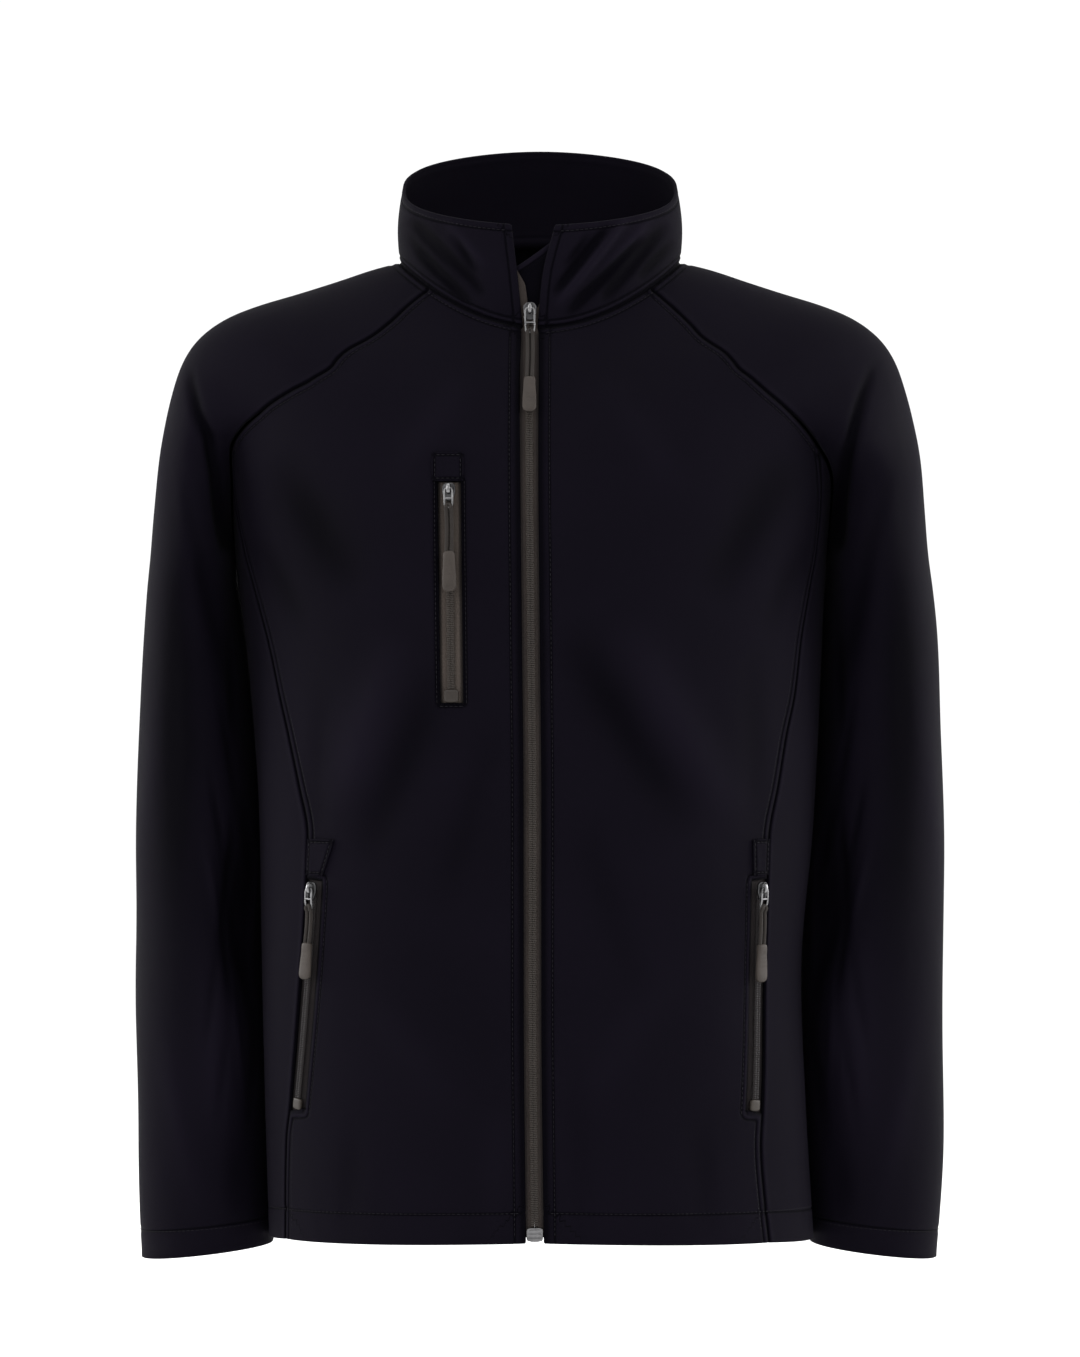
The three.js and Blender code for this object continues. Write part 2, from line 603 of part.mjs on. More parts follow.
for (const side of SIDES) {
  const stations = armholes[side.name];
  const neckX = zipX(NECK_LEVEL) + side.sign * ZIP_HALF;
  const neckStart = { angle: Math.asin(neckX / ring[side.name](0)), height: 0 };
  const neckEnd = stations[0].front;
  const neck = levels(neckStart.angle, neckEnd.angle, NECK_COLUMNS).map((angle) => ({ angle, height: 0 }));
  const frontTop = [...neck, ...stations.slice(1, princessTop + 1).map((station) => station.front)];
  const corner = stations[princessTop].front;
  let front = panel(zipEdge(side, neckStart), princessEdge(side, corner, true), frontTop, 'front');
  if (side.name === 'right') front = geometryOf(solidOf(front).subtract(solidOf(chestCutter)));
  add(`front_${side.name}`, front, CLOTH_LOOK);

  const under = stations.slice(princessTop);
  const underBack = under.slice(0, -1).reverse().map((station) => station.back);
  const sideTop = [...under.map((station) => station.front), ...underBack];
  const backCorner = stations[princessTop].back;
  const sidePanel = panel(princessEdge(side, corner, false), backEdge(side, backCorner), sideTop, 'side');
  add(`side_${side.name}`, sidePanel, CLOTH_LOOK);
}

// The back, from the left back seam round to the right one
function backPanel() {
  const left = armholes.left.slice(0, princessTop + 1).map((station) => station.back);
  const right = armholes.right.slice(0, princessTop + 1).map((station) => station.back);
  const turned = (place) => ({ ...place, angle: place.angle + 2 * Math.PI });
  const neckAngles = levels(left[0].angle, turned(right[0]).angle, BACK_NECK_COLUMNS);
  const neck = neckAngles.map((angle) => ({ angle, height: 0 }));
  const top = [...left.slice(1).reverse(), ...neck, ...right.slice(1).map(turned)];
  const start = backEdge(SIDES[1], left[princessTop]);
  const end = backEdge(SIDES[0], right[princessTop]).map(turned);
  return panel(start, end, top, 'back');
}
add('back', backPanel(), CLOTH_LOOK);

// The sleeve's cloth between a seam and the outer line: a curve with one handle at each end
function sleeveArc(seam, outer, leave, arrive, handle, steps) {
  const curve = new THREE.CubicBezierCurve3(
    seam,
    seam.clone().addScaledVector(leave, handle),
    outer.clone().addScaledVector(arrive, handle),
    outer,
  );
  return curve.getPoints(steps);
}

// The direction in which the cloth leaves the seam at a station of the shoulder
function leaving(place, seam, outer, row, side, forward) {
  const normal = normalOf(formPoint, place.angle, place.height);
  const towards = outer.clone().sub(seam);
  const onForm = towards.addScaledVector(normal, -towards.dot(normal)).normalize();
  const turn = row.turn * TURN;
  const away = new THREE.Vector3(side.sign * Math.cos(turn), -forward * Math.sin(turn), 0);
  return onForm.multiplyScalar(1 - row.free).addScaledVector(away, row.free).normalize();
}

// The sleeve's depth before or behind its middle, where its inner seam lies further back
function halfDepth(tube, forward) {
  return tube.half + forward * (tube.seam - tube.middle) / 2;
}

// The nearest that a sleeve's inner edge comes to the middle with its arcs clear of the body's side
function clearInner(side, z, tube) {
  const widest = ring[side.name](z);
  const square = ring.square(z);
  const needs = levels(0, 0.45, 9).flatMap((share) => [-1, 1].map((forward) => {
    const outward = 3 * share ** 2 * (1 - share) + share ** 3;
    const centre = tube.seam * (1 - outward) + tube.middle * outward;
    const y = centre - forward * 4 * halfDepth(tube, forward) * share * (1 - share) - MIDDLE_Y;
    const depth = y < 0 ? MIDDLE_Y - ring.front(z) : ring.back(z) - MIDDLE_Y;
    const inBody = Math.max(0, 1 - Math.abs(y / depth) ** square) ** (1 / square);
    return (widest * inBody + SLEEVE_CLEAR - tube.outer * outward) / (1 - outward);
  }));
  return Math.max(...needs);
}

// One side's sleeve as rows of points from the cuff up, each from its front seam round to its back
function sleeveRows(side) {
  const table = columns(SLEEVE_TUBE, 'z', ['outer', 'inner', 'seam', 'middle', 'half', 'raise']);
  const rows = [...TUBE_ROWS].reverse().map((z) => {
    const tube = Object.fromEntries(Object.entries(table).map(([name, at]) => [name, at(z)]));
    const inner = Math.max(tube.inner, clearInner(side, z, tube));
    const outer = new THREE.Vector3(side.sign * tube.outer, tube.middle, z);
    const arc = (forward) => {
      const y = tube.seam - forward * SEAM_HALF;
      const seam = new THREE.Vector3(side.sign * inner, y, z + tube.raise);
      const way = new THREE.Vector3(0, -forward, 0);
      return sleeveArc(seam, outer, way, way, HALF_ROUND * halfDepth(tube, forward), SLEEVE_STEPS);
    };
    return [...arc(1), ...arc(-1).reverse().slice(1)];
  });
  const stations = armholes[side.name];
  for (let i = SHOULDER.length - 1; i >= 0; i -= 1) {
    const row = SHOULDER[i];
    const outer = new THREE.Vector3(side.sign * row.x, row.y, row.z);
    const arc = (forward) => {
      const place = forward > 0 ? stations[i].front : stations[i].back;
      const seam = body(place.angle, place.height).sub(place.toPanel);
      if (i === SHOULDER.length - 1) seam.y -= forward * SEAM_HALF;
      const leave = leaving(place, seam, outer, row, side, forward);
      const arrive = new THREE.Vector3(0, -forward, 0);
      return sleeveArc(seam, outer, leave, arrive, row.handle, SLEEVE_STEPS);
    };
    rows.push([...arc(1), ...arc(-1).reverse().slice(1)]);
  }
  const neck = stations[0];
  const cells = SLEEVE_STEPS * 2;
  const neckRow = levels(neck.front.angle, neck.back.angle, cells).map((angle) => body(angle, -SEAM_HALF));
  neckRow[0].sub(neck.front.toPanel);
  neckRow[cells].sub(neck.back.toPanel);
  rows[rows.length - 1] = neckRow;
  return rows;
}

// The cloth evens itself out: each inner point moves half way to the mean of its neighbours
function relax(rows) {
  return rows.map((row, r) => row.map((point, c) => {
    if (r === 0 || c === 0 || r === rows.length - 1 || c === row.length - 1) return point;
    const mean = rows[r - 1][c].clone().add(rows[r + 1][c]).add(row[c - 1]).add(row[c + 1]);
    return point.clone().lerp(mean.multiplyScalar(0.25), 0.5);
  }));
}

function foldSleeve(plain, side) {
  const rows = relax(plain);
  const raised = innerSide(rows, 1, -side.sign);
  return rows.map((row, r) => row.map((point, c) => {
    const around = c / (row.length - 1);
    let depth = 0;
    for (const fold of SLEEVE_FOLDS) {
      const reach = ((point.z - fold.z) / fold.tall) ** 2 + ((around - fold.around) / fold.wide) ** 2;
      depth += fold.depth * Math.exp(-reach);
    }
    const atEdge = c === 0 || c === row.length - 1 || r > rows.length - 3;
    return atEdge ? point : point.clone().lerp(raised[r][c], depth);
  }));
}

for (const side of SIDES) {
  const outer = foldSleeve(sleeveRows(side), side);
  add(`sleeve_${side.name}`, wall(outer, innerSide(outer, CLOTH, side.sign)), CLOTH_LOOK);
}

// The collar's form: up is 0 on the neck seam and 1 at the rim
function collarPlain(angle, up) {
  const base = formPoint(angle, 0);
  const radius = ovalRadius(angle, RIM.square);
  const cosine = Math.cos(angle);
  const depth = cosine > 0 ? RIM.middle - RIM.front : RIM.back - RIM.middle;
  const rim = new THREE.Vector3(
    RIM.half * radius * Math.sin(angle),
    RIM.middle - depth * radius * cosine,
    RIM.height - RIM.tilt * cosine,
  );
  return base.lerp(rim, up);
}

function collar(angle, up, out = 0) {
  const point = collarPlain(angle, up);
  const across = collarPlain(angle + 0.002, up).sub(collarPlain(angle - 0.002, up));
  const rise = collarPlain(angle, 1).sub(collarPlain(angle, 0));
  const normal = across.cross(rise).normalize();
  const bow = COLLAR_BOW * Math.sin(Math.PI * up);
  const fold = Math.cos(angle) > 0 ? foldDepth(COLLAR_FOLDS, point.x, point.z) : 0;
  return point.addScaledVector(normal, out + bow + fold);
}

const collarEdge = columns(COLLAR_EDGES, 'up', ['right', 'left']);

function collarSheet(fromTurn, toTurn, ups, cells, nearOut, farOut) {
  const face = (out) => ups.map((up) => levels(0, 1, cells).map((share) => (
    collar(mix(fromTurn(up), toTurn(up), share) * TURN, up, out))));
  return wall(face(nearOut), face(farOut));
}
add('collar', collarSheet(
  (up) => collarEdge.left(up), (up) => 360 + collarEdge.right(up),
  COLLAR_ROWS, COLLAR_COLUMNS, 0, -COLLAR_CLOTH,
), CLOTH_LOOK);

// The guard behind the collar's opening, with its folded top edge rising to the left
const GUARD = {
  right: -11.5, left: 9, low: 0.06, highRight: 0.55, highLeft: 0.92, behind: 5, columns: 4, rows: 3,
};
function chinGuard() {
  const turns = levels(GUARD.right, GUARD.left, GUARD.columns);
  const face = (out) => levels(0, 1, GUARD.rows).map((share) => turns.map((turn, i) => {
    const high = mix(GUARD.highRight, GUARD.highLeft, i / GUARD.columns);
    return collar(turn * TURN, mix(GUARD.low, high, share), out);
  }));
  return wall(face(-GUARD.behind), face(-GUARD.behind - CLOTH));
}
add('chin_guard', chinGuard(), CLOTH_LOOK);

// A point in front of the zips, on the fronts or, above the neck seam, on the collar
function nearZip(x, z, out) {
  if (z < BODY_RINGS[0].frontLift) return onFront(x, z, out);
  const angle = Math.asin(x / ring.left(0));
  const neckZ = formPoint(angle, 0).z;
  if (z < neckZ) return onFront(x, z, out);
  const rimZ = collarPlain(angle, 1).z;
  return collar(angle, (z - neckZ) / (rimZ - neckZ), out);
}

const TAPE_OUT = -CLOTH - SEAT;
const COIL = { wide: 5, out: 0.6, seat: 0.6 };
const COLLAR_TAPE = { out: -3.5, under: 3.4, beyond: 3.2 };

// One front's zip tape, behind its edge from the hem and on up the collar's edge
function zipTape(side) {
  const cover = ZIP_HALF + TAPE_UNDERLAP;
  const low = levels(FRONT_TAPE.bottom, FRONT_TAPE.top, FRONT_TAPE.steps);
  const face = (bodyOut, collarOut) => [
    ...low.map((z) => [cover, TOUCH / 2].map((away) => onFront(zipX(z) + side.sign * away, z, bodyOut))),
    ...levels(0, 0.97, 5).map((up) => [COLLAR_TAPE.under, -COLLAR_TAPE.beyond].map((away) => (
      collar((collarEdge[side.name](up) + side.sign * away) * TURN, up, collarOut)))),
  ];
  const near = face(TAPE_OUT, COLLAR_TAPE.out);
  const far = face(TAPE_OUT - TAPE_THICK, COLLAR_TAPE.out - TAPE_THICK);
  return wall(near, far);
}
for (const side of SIDES) add(`zip_tape_${side.name}`, zipTape(side), TAPE_LOOK);

// A coil lies on its tape and stands just above the cloth
function coil(lineX, zs) {
  const face = (out) => zs.map((z) => [-1, 1].map((way) => (
    nearZip(lineX(z) + way * COIL.wide / 2, z, out))));
  return wall(face(COIL.out), face(TAPE_OUT + COIL.seat));
}

// Pocket zips: the middle line of each, with the reach of its opening
function handX(side) {
  return (z) => side.sign * (princess[side.name](z) - HAND_WINDOW / 2);
}
const lineOf = { zip: zipX, chest: chestX, right: handX(SIDES[0]), left: handX(SIDES[1]) };
const HAND_POCKET = {
  top: HAND_TOP, bottom: HAND_BOTTOM, half: HAND_WINDOW / 2, coilTop: -447.5, steps: 9, deeper: 0.4,
};
const POCKETS = [
  {
    name: 'chest', top: CHEST_WINDOW.top, bottom: CHEST_WINDOW.bottom,
    half: 8, coilTop: -165, steps: 8, deeper: 0,
  },
  { name: 'right', ...HAND_POCKET },
  { name: 'left', ...HAND_POCKET },
];
const STOP_OUT = 1.1;

const frontCoilLevels = [...levels(FRONT_COIL.bottom, FRONT_COIL.top, FRONT_COIL.steps), ...FRONT_COIL.upper];
add('zip_coil', coil(zipX, frontCoilLevels), COIL_LOOK);
for (const pocket of POCKETS) {
  const lineX = lineOf[pocket.name];
  const zip = ZIPS.find((item) => item.name === pocket.name);
  const reach = pocket.half + TAPE_UNDERLAP - 1;
  const tapeLevels = levels(pocket.bottom - TAPE_UNDERLAP, pocket.top + TAPE_UNDERLAP, pocket.steps);
  const tapeOut = TAPE_OUT - pocket.deeper;
  const tape = frontSheet((z) => lineX(z) - reach, (z) => lineX(z) + reach, tapeLevels, 3,
    tapeOut, tapeOut - TAPE_THICK);
  add(`${pocket.name}_tape`, tape, TAPE_LOOK);
  const coilBottom = zip.stopZ + zip.stopTall / 2 + TOUCH;
  add(`${pocket.name}_coil`, coil(lineX, levels(coilBottom, pocket.coilTop, pocket.steps)), COIL_LOOK);
}
for (const zip of ZIPS) {
  const lineX = lineOf[zip.name];
  const half = zip.stopWide / 2;
  const stopLevels = levels(zip.stopZ - zip.stopTall / 2, zip.stopZ + zip.stopTall / 2, 2);
  add(`${zip.name}_stop`, frontSheet((z) => lineX(z) - half, (z) => lineX(z) + half, stopLevels, 2,
    STOP_OUT, TAPE_OUT + TOUCH), COIL_LOOK);
}

// Garage patches, sewn on the fronts above the pocket zips
const GARAGES = [
  { name: 'chest', low: -162.5, high: -143, left: () => -75, right: () => -53.4 },
  {
    name: 'right', low: -438, high: -413,
    left: (z) => PATCH_INSET - princess.right(z), right: (z) => mix(-144, -152, (-413 - z) / 25),
  },
  { name: 'left', low: -438, high: -413, left: () => 149.5, right: (z) => princess.left(z) - PATCH_INSET },
];
for (const patch of GARAGES) {
  const sheet = frontSheet(patch.left, patch.right, levels(patch.low, patch.high, 3), 3,
    SEAT + PATCH_THICK, SEAT);
  add(`garage_${patch.name}`, sheet, CLOTH_LOOK);
}

// The slider's own directions: across the zip, up along it and out from the cloth
function zipFrame(zip) {
  const lineX = lineOf[zip.name];
  const z = zip.sliderZ;
  const origin = nearZip(lineX(z), z, 0);
  const up = nearZip(lineX(z + 5), z + 5, 0).sub(nearZip(lineX(z - 5), z - 5, 0)).normalize();
  const out = nearZip(lineX(z), z, 1).sub(origin).normalize();
  const across = up.clone().cross(out).normalize();
  out.crossVectors(across, up);
  return { origin, across, up, out };
}

// A flat block with its corners in the frame: each row is how far up, half its width, low and high
function block(frame, rows) {
  const at = (x, y, z) => frame.origin.clone().addScaledVector(frame.across, x)
    .addScaledVector(frame.up, y).addScaledVector(frame.out, z);
  return loft(rows.map((row) => [
    at(-row.half, row.up, row.low), at(row.half, row.up, row.low),
    at(row.half, row.up, row.high), at(-row.half, row.up, row.high),
  ]));
}

// The slider's body, with a bridge over the tab's top bar
function slider(frame) {
  const { tall, wide, thick, lift } = SLIDER;
  const high = lift + thick;
  const base = block(frame, [
    { up: -tall / 2, half: wide * 0.36, low: lift, high },
    { up: -tall / 8, half: wide / 2, low: lift, high },
    { up: tall / 2, half: wide * 0.45, low: lift, high },
  ]);
  const foot = high - BRIDGE.post / 2;
  const under = HINGE_OUT + BRIDGE.under;
  const top = under + BRIDGE.thick;
  const span = (fromUp, toUp, low) => block(frame, [
    { up: HINGE_UP + fromUp, half: BRIDGE.half, low, high: top },
    { up: HINGE_UP + toUp, half: BRIDGE.half, low, high: top },
  ]);
  const { reach, post } = BRIDGE;
  return geometryOf(solidOf(base)
    .add(solidOf(span(-reach, post - reach, foot)))
    .add(solidOf(span(reach - post, reach, foot)))
    .add(solidOf(span(-reach, reach, under))));
}

// How far out the pull lies at a distance below its axis: over the slider, then down on the cloth
const PULL_REST = 3.3;
function pullOut(down) {
  const share = Math.min(Math.max((down - 8) / 8, 0), 1);
  return mix(HINGE_OUT, PULL_REST, share * share * (3 - 2 * share));
}

// A point of the pull, at a distance below its axis and to one side, with its frame there
function pullPoint(zip, frame, down, sideways, away) {
  const z = zip.sliderZ + HINGE_UP - down;
  const middle = nearZip(lineOf[zip.name](z), z, pullOut(down));
  return middle.addScaledVector(frame.across, sideways).addScaledVector(frame.out, away);
}

function ovalRing(zip, frame, down, halfWide, halfThick) {
  const corner = 0.55;
  const spots = [
    [1, -corner], [1, corner], [corner, 1], [-corner, 1],
    [-1, corner], [-1, -corner], [-corner, -1], [corner, -1],
  ];
  return spots.map(([u, v]) => pullPoint(zip, frame, down, u * halfWide, v * halfThick));
}

// The tab is a flat frame round the bridge, with a bar across it
function tabFrame(zip, frame) {
  const inside = zip.tabHalf - TAB.bar;
  const cross = zip.tab * TAB.crossAt;
  const plate = loft([-TAB.above, 3, 8, 12, zip.tab].map((down) => (
    ovalRing(zip, frame, down, zip.tabHalf, TAB.thick / 2))));
  const hole = (from, to) => solidOf(loft(levels(from, to, 3).map((down) => (
    [[-1, -1], [1, -1], [1, 1], [-1, 1]].map(([u, v]) => (
      pullPoint(zip, frame, down, u * inside, v * TAB.thick)))))));
  return geometryOf(solidOf(plate)
    .subtract(hole(TAB.thick / 2, cross - TAB.bar / 2))
    .subtract(hole(cross + TAB.bar / 2, zip.tab - TAB.bar)));
}

// The cord is one loop of two strands that runs up to the tab and back
function cordLoop(zip, frame, from, to) {
  const radius = CORD.thick / 2;
  const bend = CORD.spread;
  const path = [
    ...levels(to, from + bend + radius, 3).map((down) => ({ down, sideways: -bend })),
    ...[0.25, 0.5, 0.75].map((share) => ({
      down: from + bend + radius - bend * Math.sin(share * Math.PI),
      sideways: -bend * Math.cos(share * Math.PI),
    })),
    ...levels(from + bend + radius, to, 3).map((down) => ({ down, sideways: bend })),
  ];
  const spots = path.map(({ down, sideways }) => pullPoint(zip, frame, down, sideways, 0));
  const rings = spots.map((spot, i) => {
    const next = spots[Math.min(i + 1, spots.length - 1)];
    const along = next.clone().sub(spots[Math.max(i - 1, 0)]).normalize();
    const beside = along.clone().cross(frame.out).normalize();
    const above = beside.clone().cross(along);
    return levels(0, 5, 5).map((step) => spot.clone()
      .addScaledVector(beside, radius * Math.cos(step * Math.PI / 3))
      .addScaledVector(above, radius * Math.sin(step * Math.PI / 3)));
  });
  return loft(rings);
}

for (const zip of ZIPS) {
  const frame = zipFrame(zip);
  add(`${zip.name}_slider`, slider(frame), METAL_LOOK);
  add(`${zip.name}_tab`, tabFrame(zip, frame), METAL_LOOK);
  const cordTop = zip.tab + TOUCH;
  const cordEnd = zip.tab + zip.cord;
  add(`${zip.name}_cord`, cordLoop(zip, frame, cordTop, cordEnd), TIP_LOOK);
  const tipShares = [
    { share: 0, wide: 0.72, thick: 0.8 },
    { share: 0.15, wide: 1, thick: 1 },
    { share: 0.85, wide: 0.95, thick: 1 },
    { share: 1, wide: 0.7, thick: 0.75 },
  ];
  const tipRings = tipShares.map(({ share, wide, thick }) => ovalRing(zip, frame,
    cordEnd + SEAT + share * zip.tip, wide * TIP.wide / 2, thick * TIP.thick / 2));
  add(`${zip.name}_tip`, loft(tipRings), TIP_LOOK);
}

export default group;
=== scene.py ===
import math
import bpy
import numpy as np
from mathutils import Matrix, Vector


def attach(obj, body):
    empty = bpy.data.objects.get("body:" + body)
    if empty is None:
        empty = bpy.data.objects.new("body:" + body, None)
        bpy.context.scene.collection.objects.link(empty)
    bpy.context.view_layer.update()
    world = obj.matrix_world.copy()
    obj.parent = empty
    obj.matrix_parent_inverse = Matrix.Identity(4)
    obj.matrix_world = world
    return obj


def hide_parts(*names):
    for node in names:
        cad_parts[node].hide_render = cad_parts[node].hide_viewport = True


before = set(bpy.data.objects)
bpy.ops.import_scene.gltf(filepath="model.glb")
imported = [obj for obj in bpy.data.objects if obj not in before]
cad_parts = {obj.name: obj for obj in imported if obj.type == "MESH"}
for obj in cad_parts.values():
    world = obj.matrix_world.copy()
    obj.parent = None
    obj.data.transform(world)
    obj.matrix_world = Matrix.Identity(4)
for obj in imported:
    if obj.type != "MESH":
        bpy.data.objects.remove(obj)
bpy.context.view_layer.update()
print("frame loaded")

mm = 0.001
rng = np.random.default_rng(11)  # one seed for every uneven thing

# the camera stands 3.5 m in front of the neck and looks level at the middle of the jacket
view = {"place": (0.0, -3.5, -0.30), "lens": 128.96, "sensor": 36.0}
cameraData = bpy.data.cameras.new("camera")
camera = bpy.data.objects.new("camera", cameraData)
bpy.context.scene.collection.objects.link(camera)
camera.location = view["place"]
camera.rotation_euler = (math.pi / 2, 0.0, 0.0)
cameraData.lens = view["lens"]
cameraData.sensor_width = view["sensor"]
cameraData.clip_end = 60.0
bpy.context.scene.camera = camera


# the garment's form, in millimetres, from the same tables as the solids
cut = {
    "cloth": 1.5, "collarCloth": 2.4, "seamHalf": 0.35, "middleY": 5.0, "zipHalf": 6.0,
    "handWindow": 11.0, "underlap": 6.0, "tapeThick": 0.8, "touch": 0.3, "seat": 0.9,
    "patchThick": 0.9, "sleeveClear": 0.6, "hemHeight": -702.0,
}

bodyRings = {
    "height": [0, -12, -25, -35, -44, -54, -67, -90, -120, -165, -215, -300, -400, -515, -600, -702],
    "right": [101, 137, 175, 206, 226, 238, 243, 238, 230, 223, 219, 209, 202, 200, 198, 195],
    "left": [101, 137, 175, 206, 226, 238, 242, 234, 221, 211, 206, 202, 197, 188, 191, 197],
    "front": [-70, -76, -82, -87, -91, -95, -100, -107, -114, -121, -126, -128, -125, -121, -120, -118],
    "back": [62, 72, 81, 87, 92, 96, 101, 107, 112, 116, 116, 112, 105, 104, 110, 116],
    "frontLift": [-52, -48, -44, -42, -40, -38, -36, -31, -24, -15, -7, 0, 0, 0, 2, 8],
    "backLift": [20, 23, 27, 29, 29, 27, 24, 20, 14, 8, 3, 0, 0, 0, -1, -4],
    "square": [2.1, 2.15, 2.2, 2.25, 2.3, 2.3, 2.35, 2.35, 2.4, 2.4, 2.4, 2.4, 2.4, 2.4, 2.4, 2.4],
}
frontZipLine = {"z": [30, -35, -130, -274, -385, -525, -700], "x": [-7, -7, -7.5, -6.3, -5.2, -5.2, -3.5]}
chestZipLine = {"z": [-150, -330], "x": [-63.5, -61.5]}
princessLine = {
    "z": [-137, -165, -208, -236, -274, -311, -339, -375, -411, -441, -605, -625, -670, -697],
    "right": [221, 219.5, 211, 203, 193, 185, 178, 170, 164, 164.5, 177.5, 180, 181, 181],
    "left": [198, 200, 197, 192, 185, 180, 174, 168.5, 162, 160.5, 156.3, 155.5, 159, 162],
}
backSeamLine = {"z": [-150, -240, -400, -704], "angle": [108, 114, 122, 127]}

# the raglan seams' stations from the neck down: the front seam, then the back seam
raglan = {
    "frontZ": [-24, -35, -49, -63, -78, -89, -97, -106, -114, -124, -137],
    "right": [83, 93, 107, 126, 145, 160, 175, 190, 200, 212, 220],
    "left": [83, 92, 106, 120, 137, 149, 158, 169, 178, 188, 198],
    "backZ": [11.5, 1, -12, -28, -46, -64, -81, -98, -114, -131, -150],
    "backRight": [64, 77, 92, 109, 128, 148, 167, 184, 197, 208, 215],
    "backLeft": [64, 77, 92, 109, 128, 147, 165, 181, 193, 201, 205],
}
underArm = {
    "frontZ": [-163, -190, -211], "frontAngle": [76, 83, 90],
    "backZ": [-173, -195, -211], "backAngle": [100, 95, 90],
}
shoulder = {
    "x": [101, 122, 146, 175, 203, 223, 238, 249, 257, 263, 269, 274, 277, 279.5],
    "y": [5, 4, 3, 2, 1, 0, 0, 0, 1, 1, 2, 3, 3, 4],
    "z": [0, -5.8, -14, -23.4, -32, -40.2, -49.8, -61, -75, -94, -119, -147, -178, -208],
    "handle": [17, 24, 31, 37, 42, 44, 45, 45, 44, 44, 50, 66, 86, 102],
    "free": [0, 0, 0, 0, 0, 0, 0, 0.25, 0.55, 0.8, 1, 1, 1, 1],
    "turn": [0, 0, 0, 0, 0, 0, 0, 0, 15, 35, 55, 72, 84, 90],
}
sleeveTube = {
    "z": [-208, -240, -286, -372, -438, -520, -633, -690, -719],
    "outer": [279.5, 283.4, 287.2, 292.1, 293.8, 293.9, 292.8, 290.5, 288.5],
    "inner": [205, 200, 196, 190, 186, 182, 186, 190, 190],
    "seam": [6, 28, 33, 37, 39, 39, 36, 33, 32],
    "middle": [6, 10.5, 19, 32, 38, 39, 36, 33, 32],
    "half": [77, 76, 74, 69, 65, 59, 51, 46.5, 45],
    "raise": [-3, -1, 0, 0, 0, 0, 2, 7, 11],
}
collarRim = {
    "half": 98.9, "front": -67, "back": 58, "middle": 2, "height": 52.5, "tilt": 32.5, "square": 2.35, "bow": 2.5,
}
collarEnds = {"up": [0, 0.5, 1], "right": [-7.4, -9.4, -12], "left": [-0.6, 1.3, 6.4]}
handPocket = {"top": -441.0, "bottom": -605.0}
chestPocket = {"top": -163.0, "bottom": -317.0, "right": 7.8, "left": 8.2}
sides = {"right": -1, "left": 1}

# folds seen from the front or back: two ends (x, z), width and depth, a trough where negative
frontFolds = [
    (-98, -275, -140, -385, 17, 3.0), (-70, -300, -120, -420, 15, -2.5),
    (22, -272, 98, -398, 16, -3.0), (60, -268, 132, -392, 16, 2.5),
    (-182, -150, -130, -235, 16, -3.0), (170, -150, 122, -240, 16, -3.0),
    (-30, -330, -66, -455, 11, -1.1), (-150, -300, -160, -420, 9, -1.2),
    (148, -285, 152, -410, 9, -1.2), (30, -400, 66, -520, 13, -1.0),
    (-120, -520, -60, -600, 14, 0.9), (96, -500, 30, -590, 15, 0.9),
    (-196, -205, -165, -265, 8, -1.4), (186, -205, 160, -262, 8, -1.4),
    (-52, -90, -98, -160, 12, 1.0), (46, -92, 96, -168, 12, 1.0),
    (-130, -610, -135, -690, 9, -0.8), (110, -610, 118, -690, 9, -0.9),
    (-28, -600, -34, -692, 10, 0.8), (24, -560, 30, -690, 9, -0.7),
]
backFolds = [
    (-165, -140, -110, -250, 18, -3.5), (165, -140, 108, -255, 18, -3.5),
    (-140, -395, 20, -430, 20, -3.0), (145, -430, -10, -470, 20, -3.0),
    (-120, -200, -70, -330, 13, -1.4), (126, -210, 74, -330, 13, -1.4),
    (-160, -470, -30, -500, 12, -1.5), (150, -500, 30, -540, 13, -1.4),
    (-60, -560, -66, -690, 12, 0.9), (70, -580, 62, -690, 12, 0.9),
    (-40, -60, -70, -150, 14, 1.0), (44, -64, 74, -150, 14, 1.0),
]
collarFolds = [
    (-88, 24, -42, -26, 3.8, -4.0), (-84, 2, -50, -34, 3.4, -3.4), (-66, 24, -38, -8, 3.4, 1.2),
    (-80, 16, -46, -24, 2.6, 2.2), (-92, 16, -72, -14, 3.4, -1.6), (-60, 14, -44, -14, 2.8, -1.6),
    (46, 18, 12, -26, 3.2, -3.8), (68, 10, 22, -40, 3.6, -4.4), (60, 24, 14, -34, 2.6, 3.0),
    (86, 20, 46, -30, 4.2, -3.4), (76, 24, 34, -24, 2.8, 2.2), (92, 10, 70, -16, 3.6, -2.0),
    (34, 14, 18, -8, 2.4, -1.6),
]
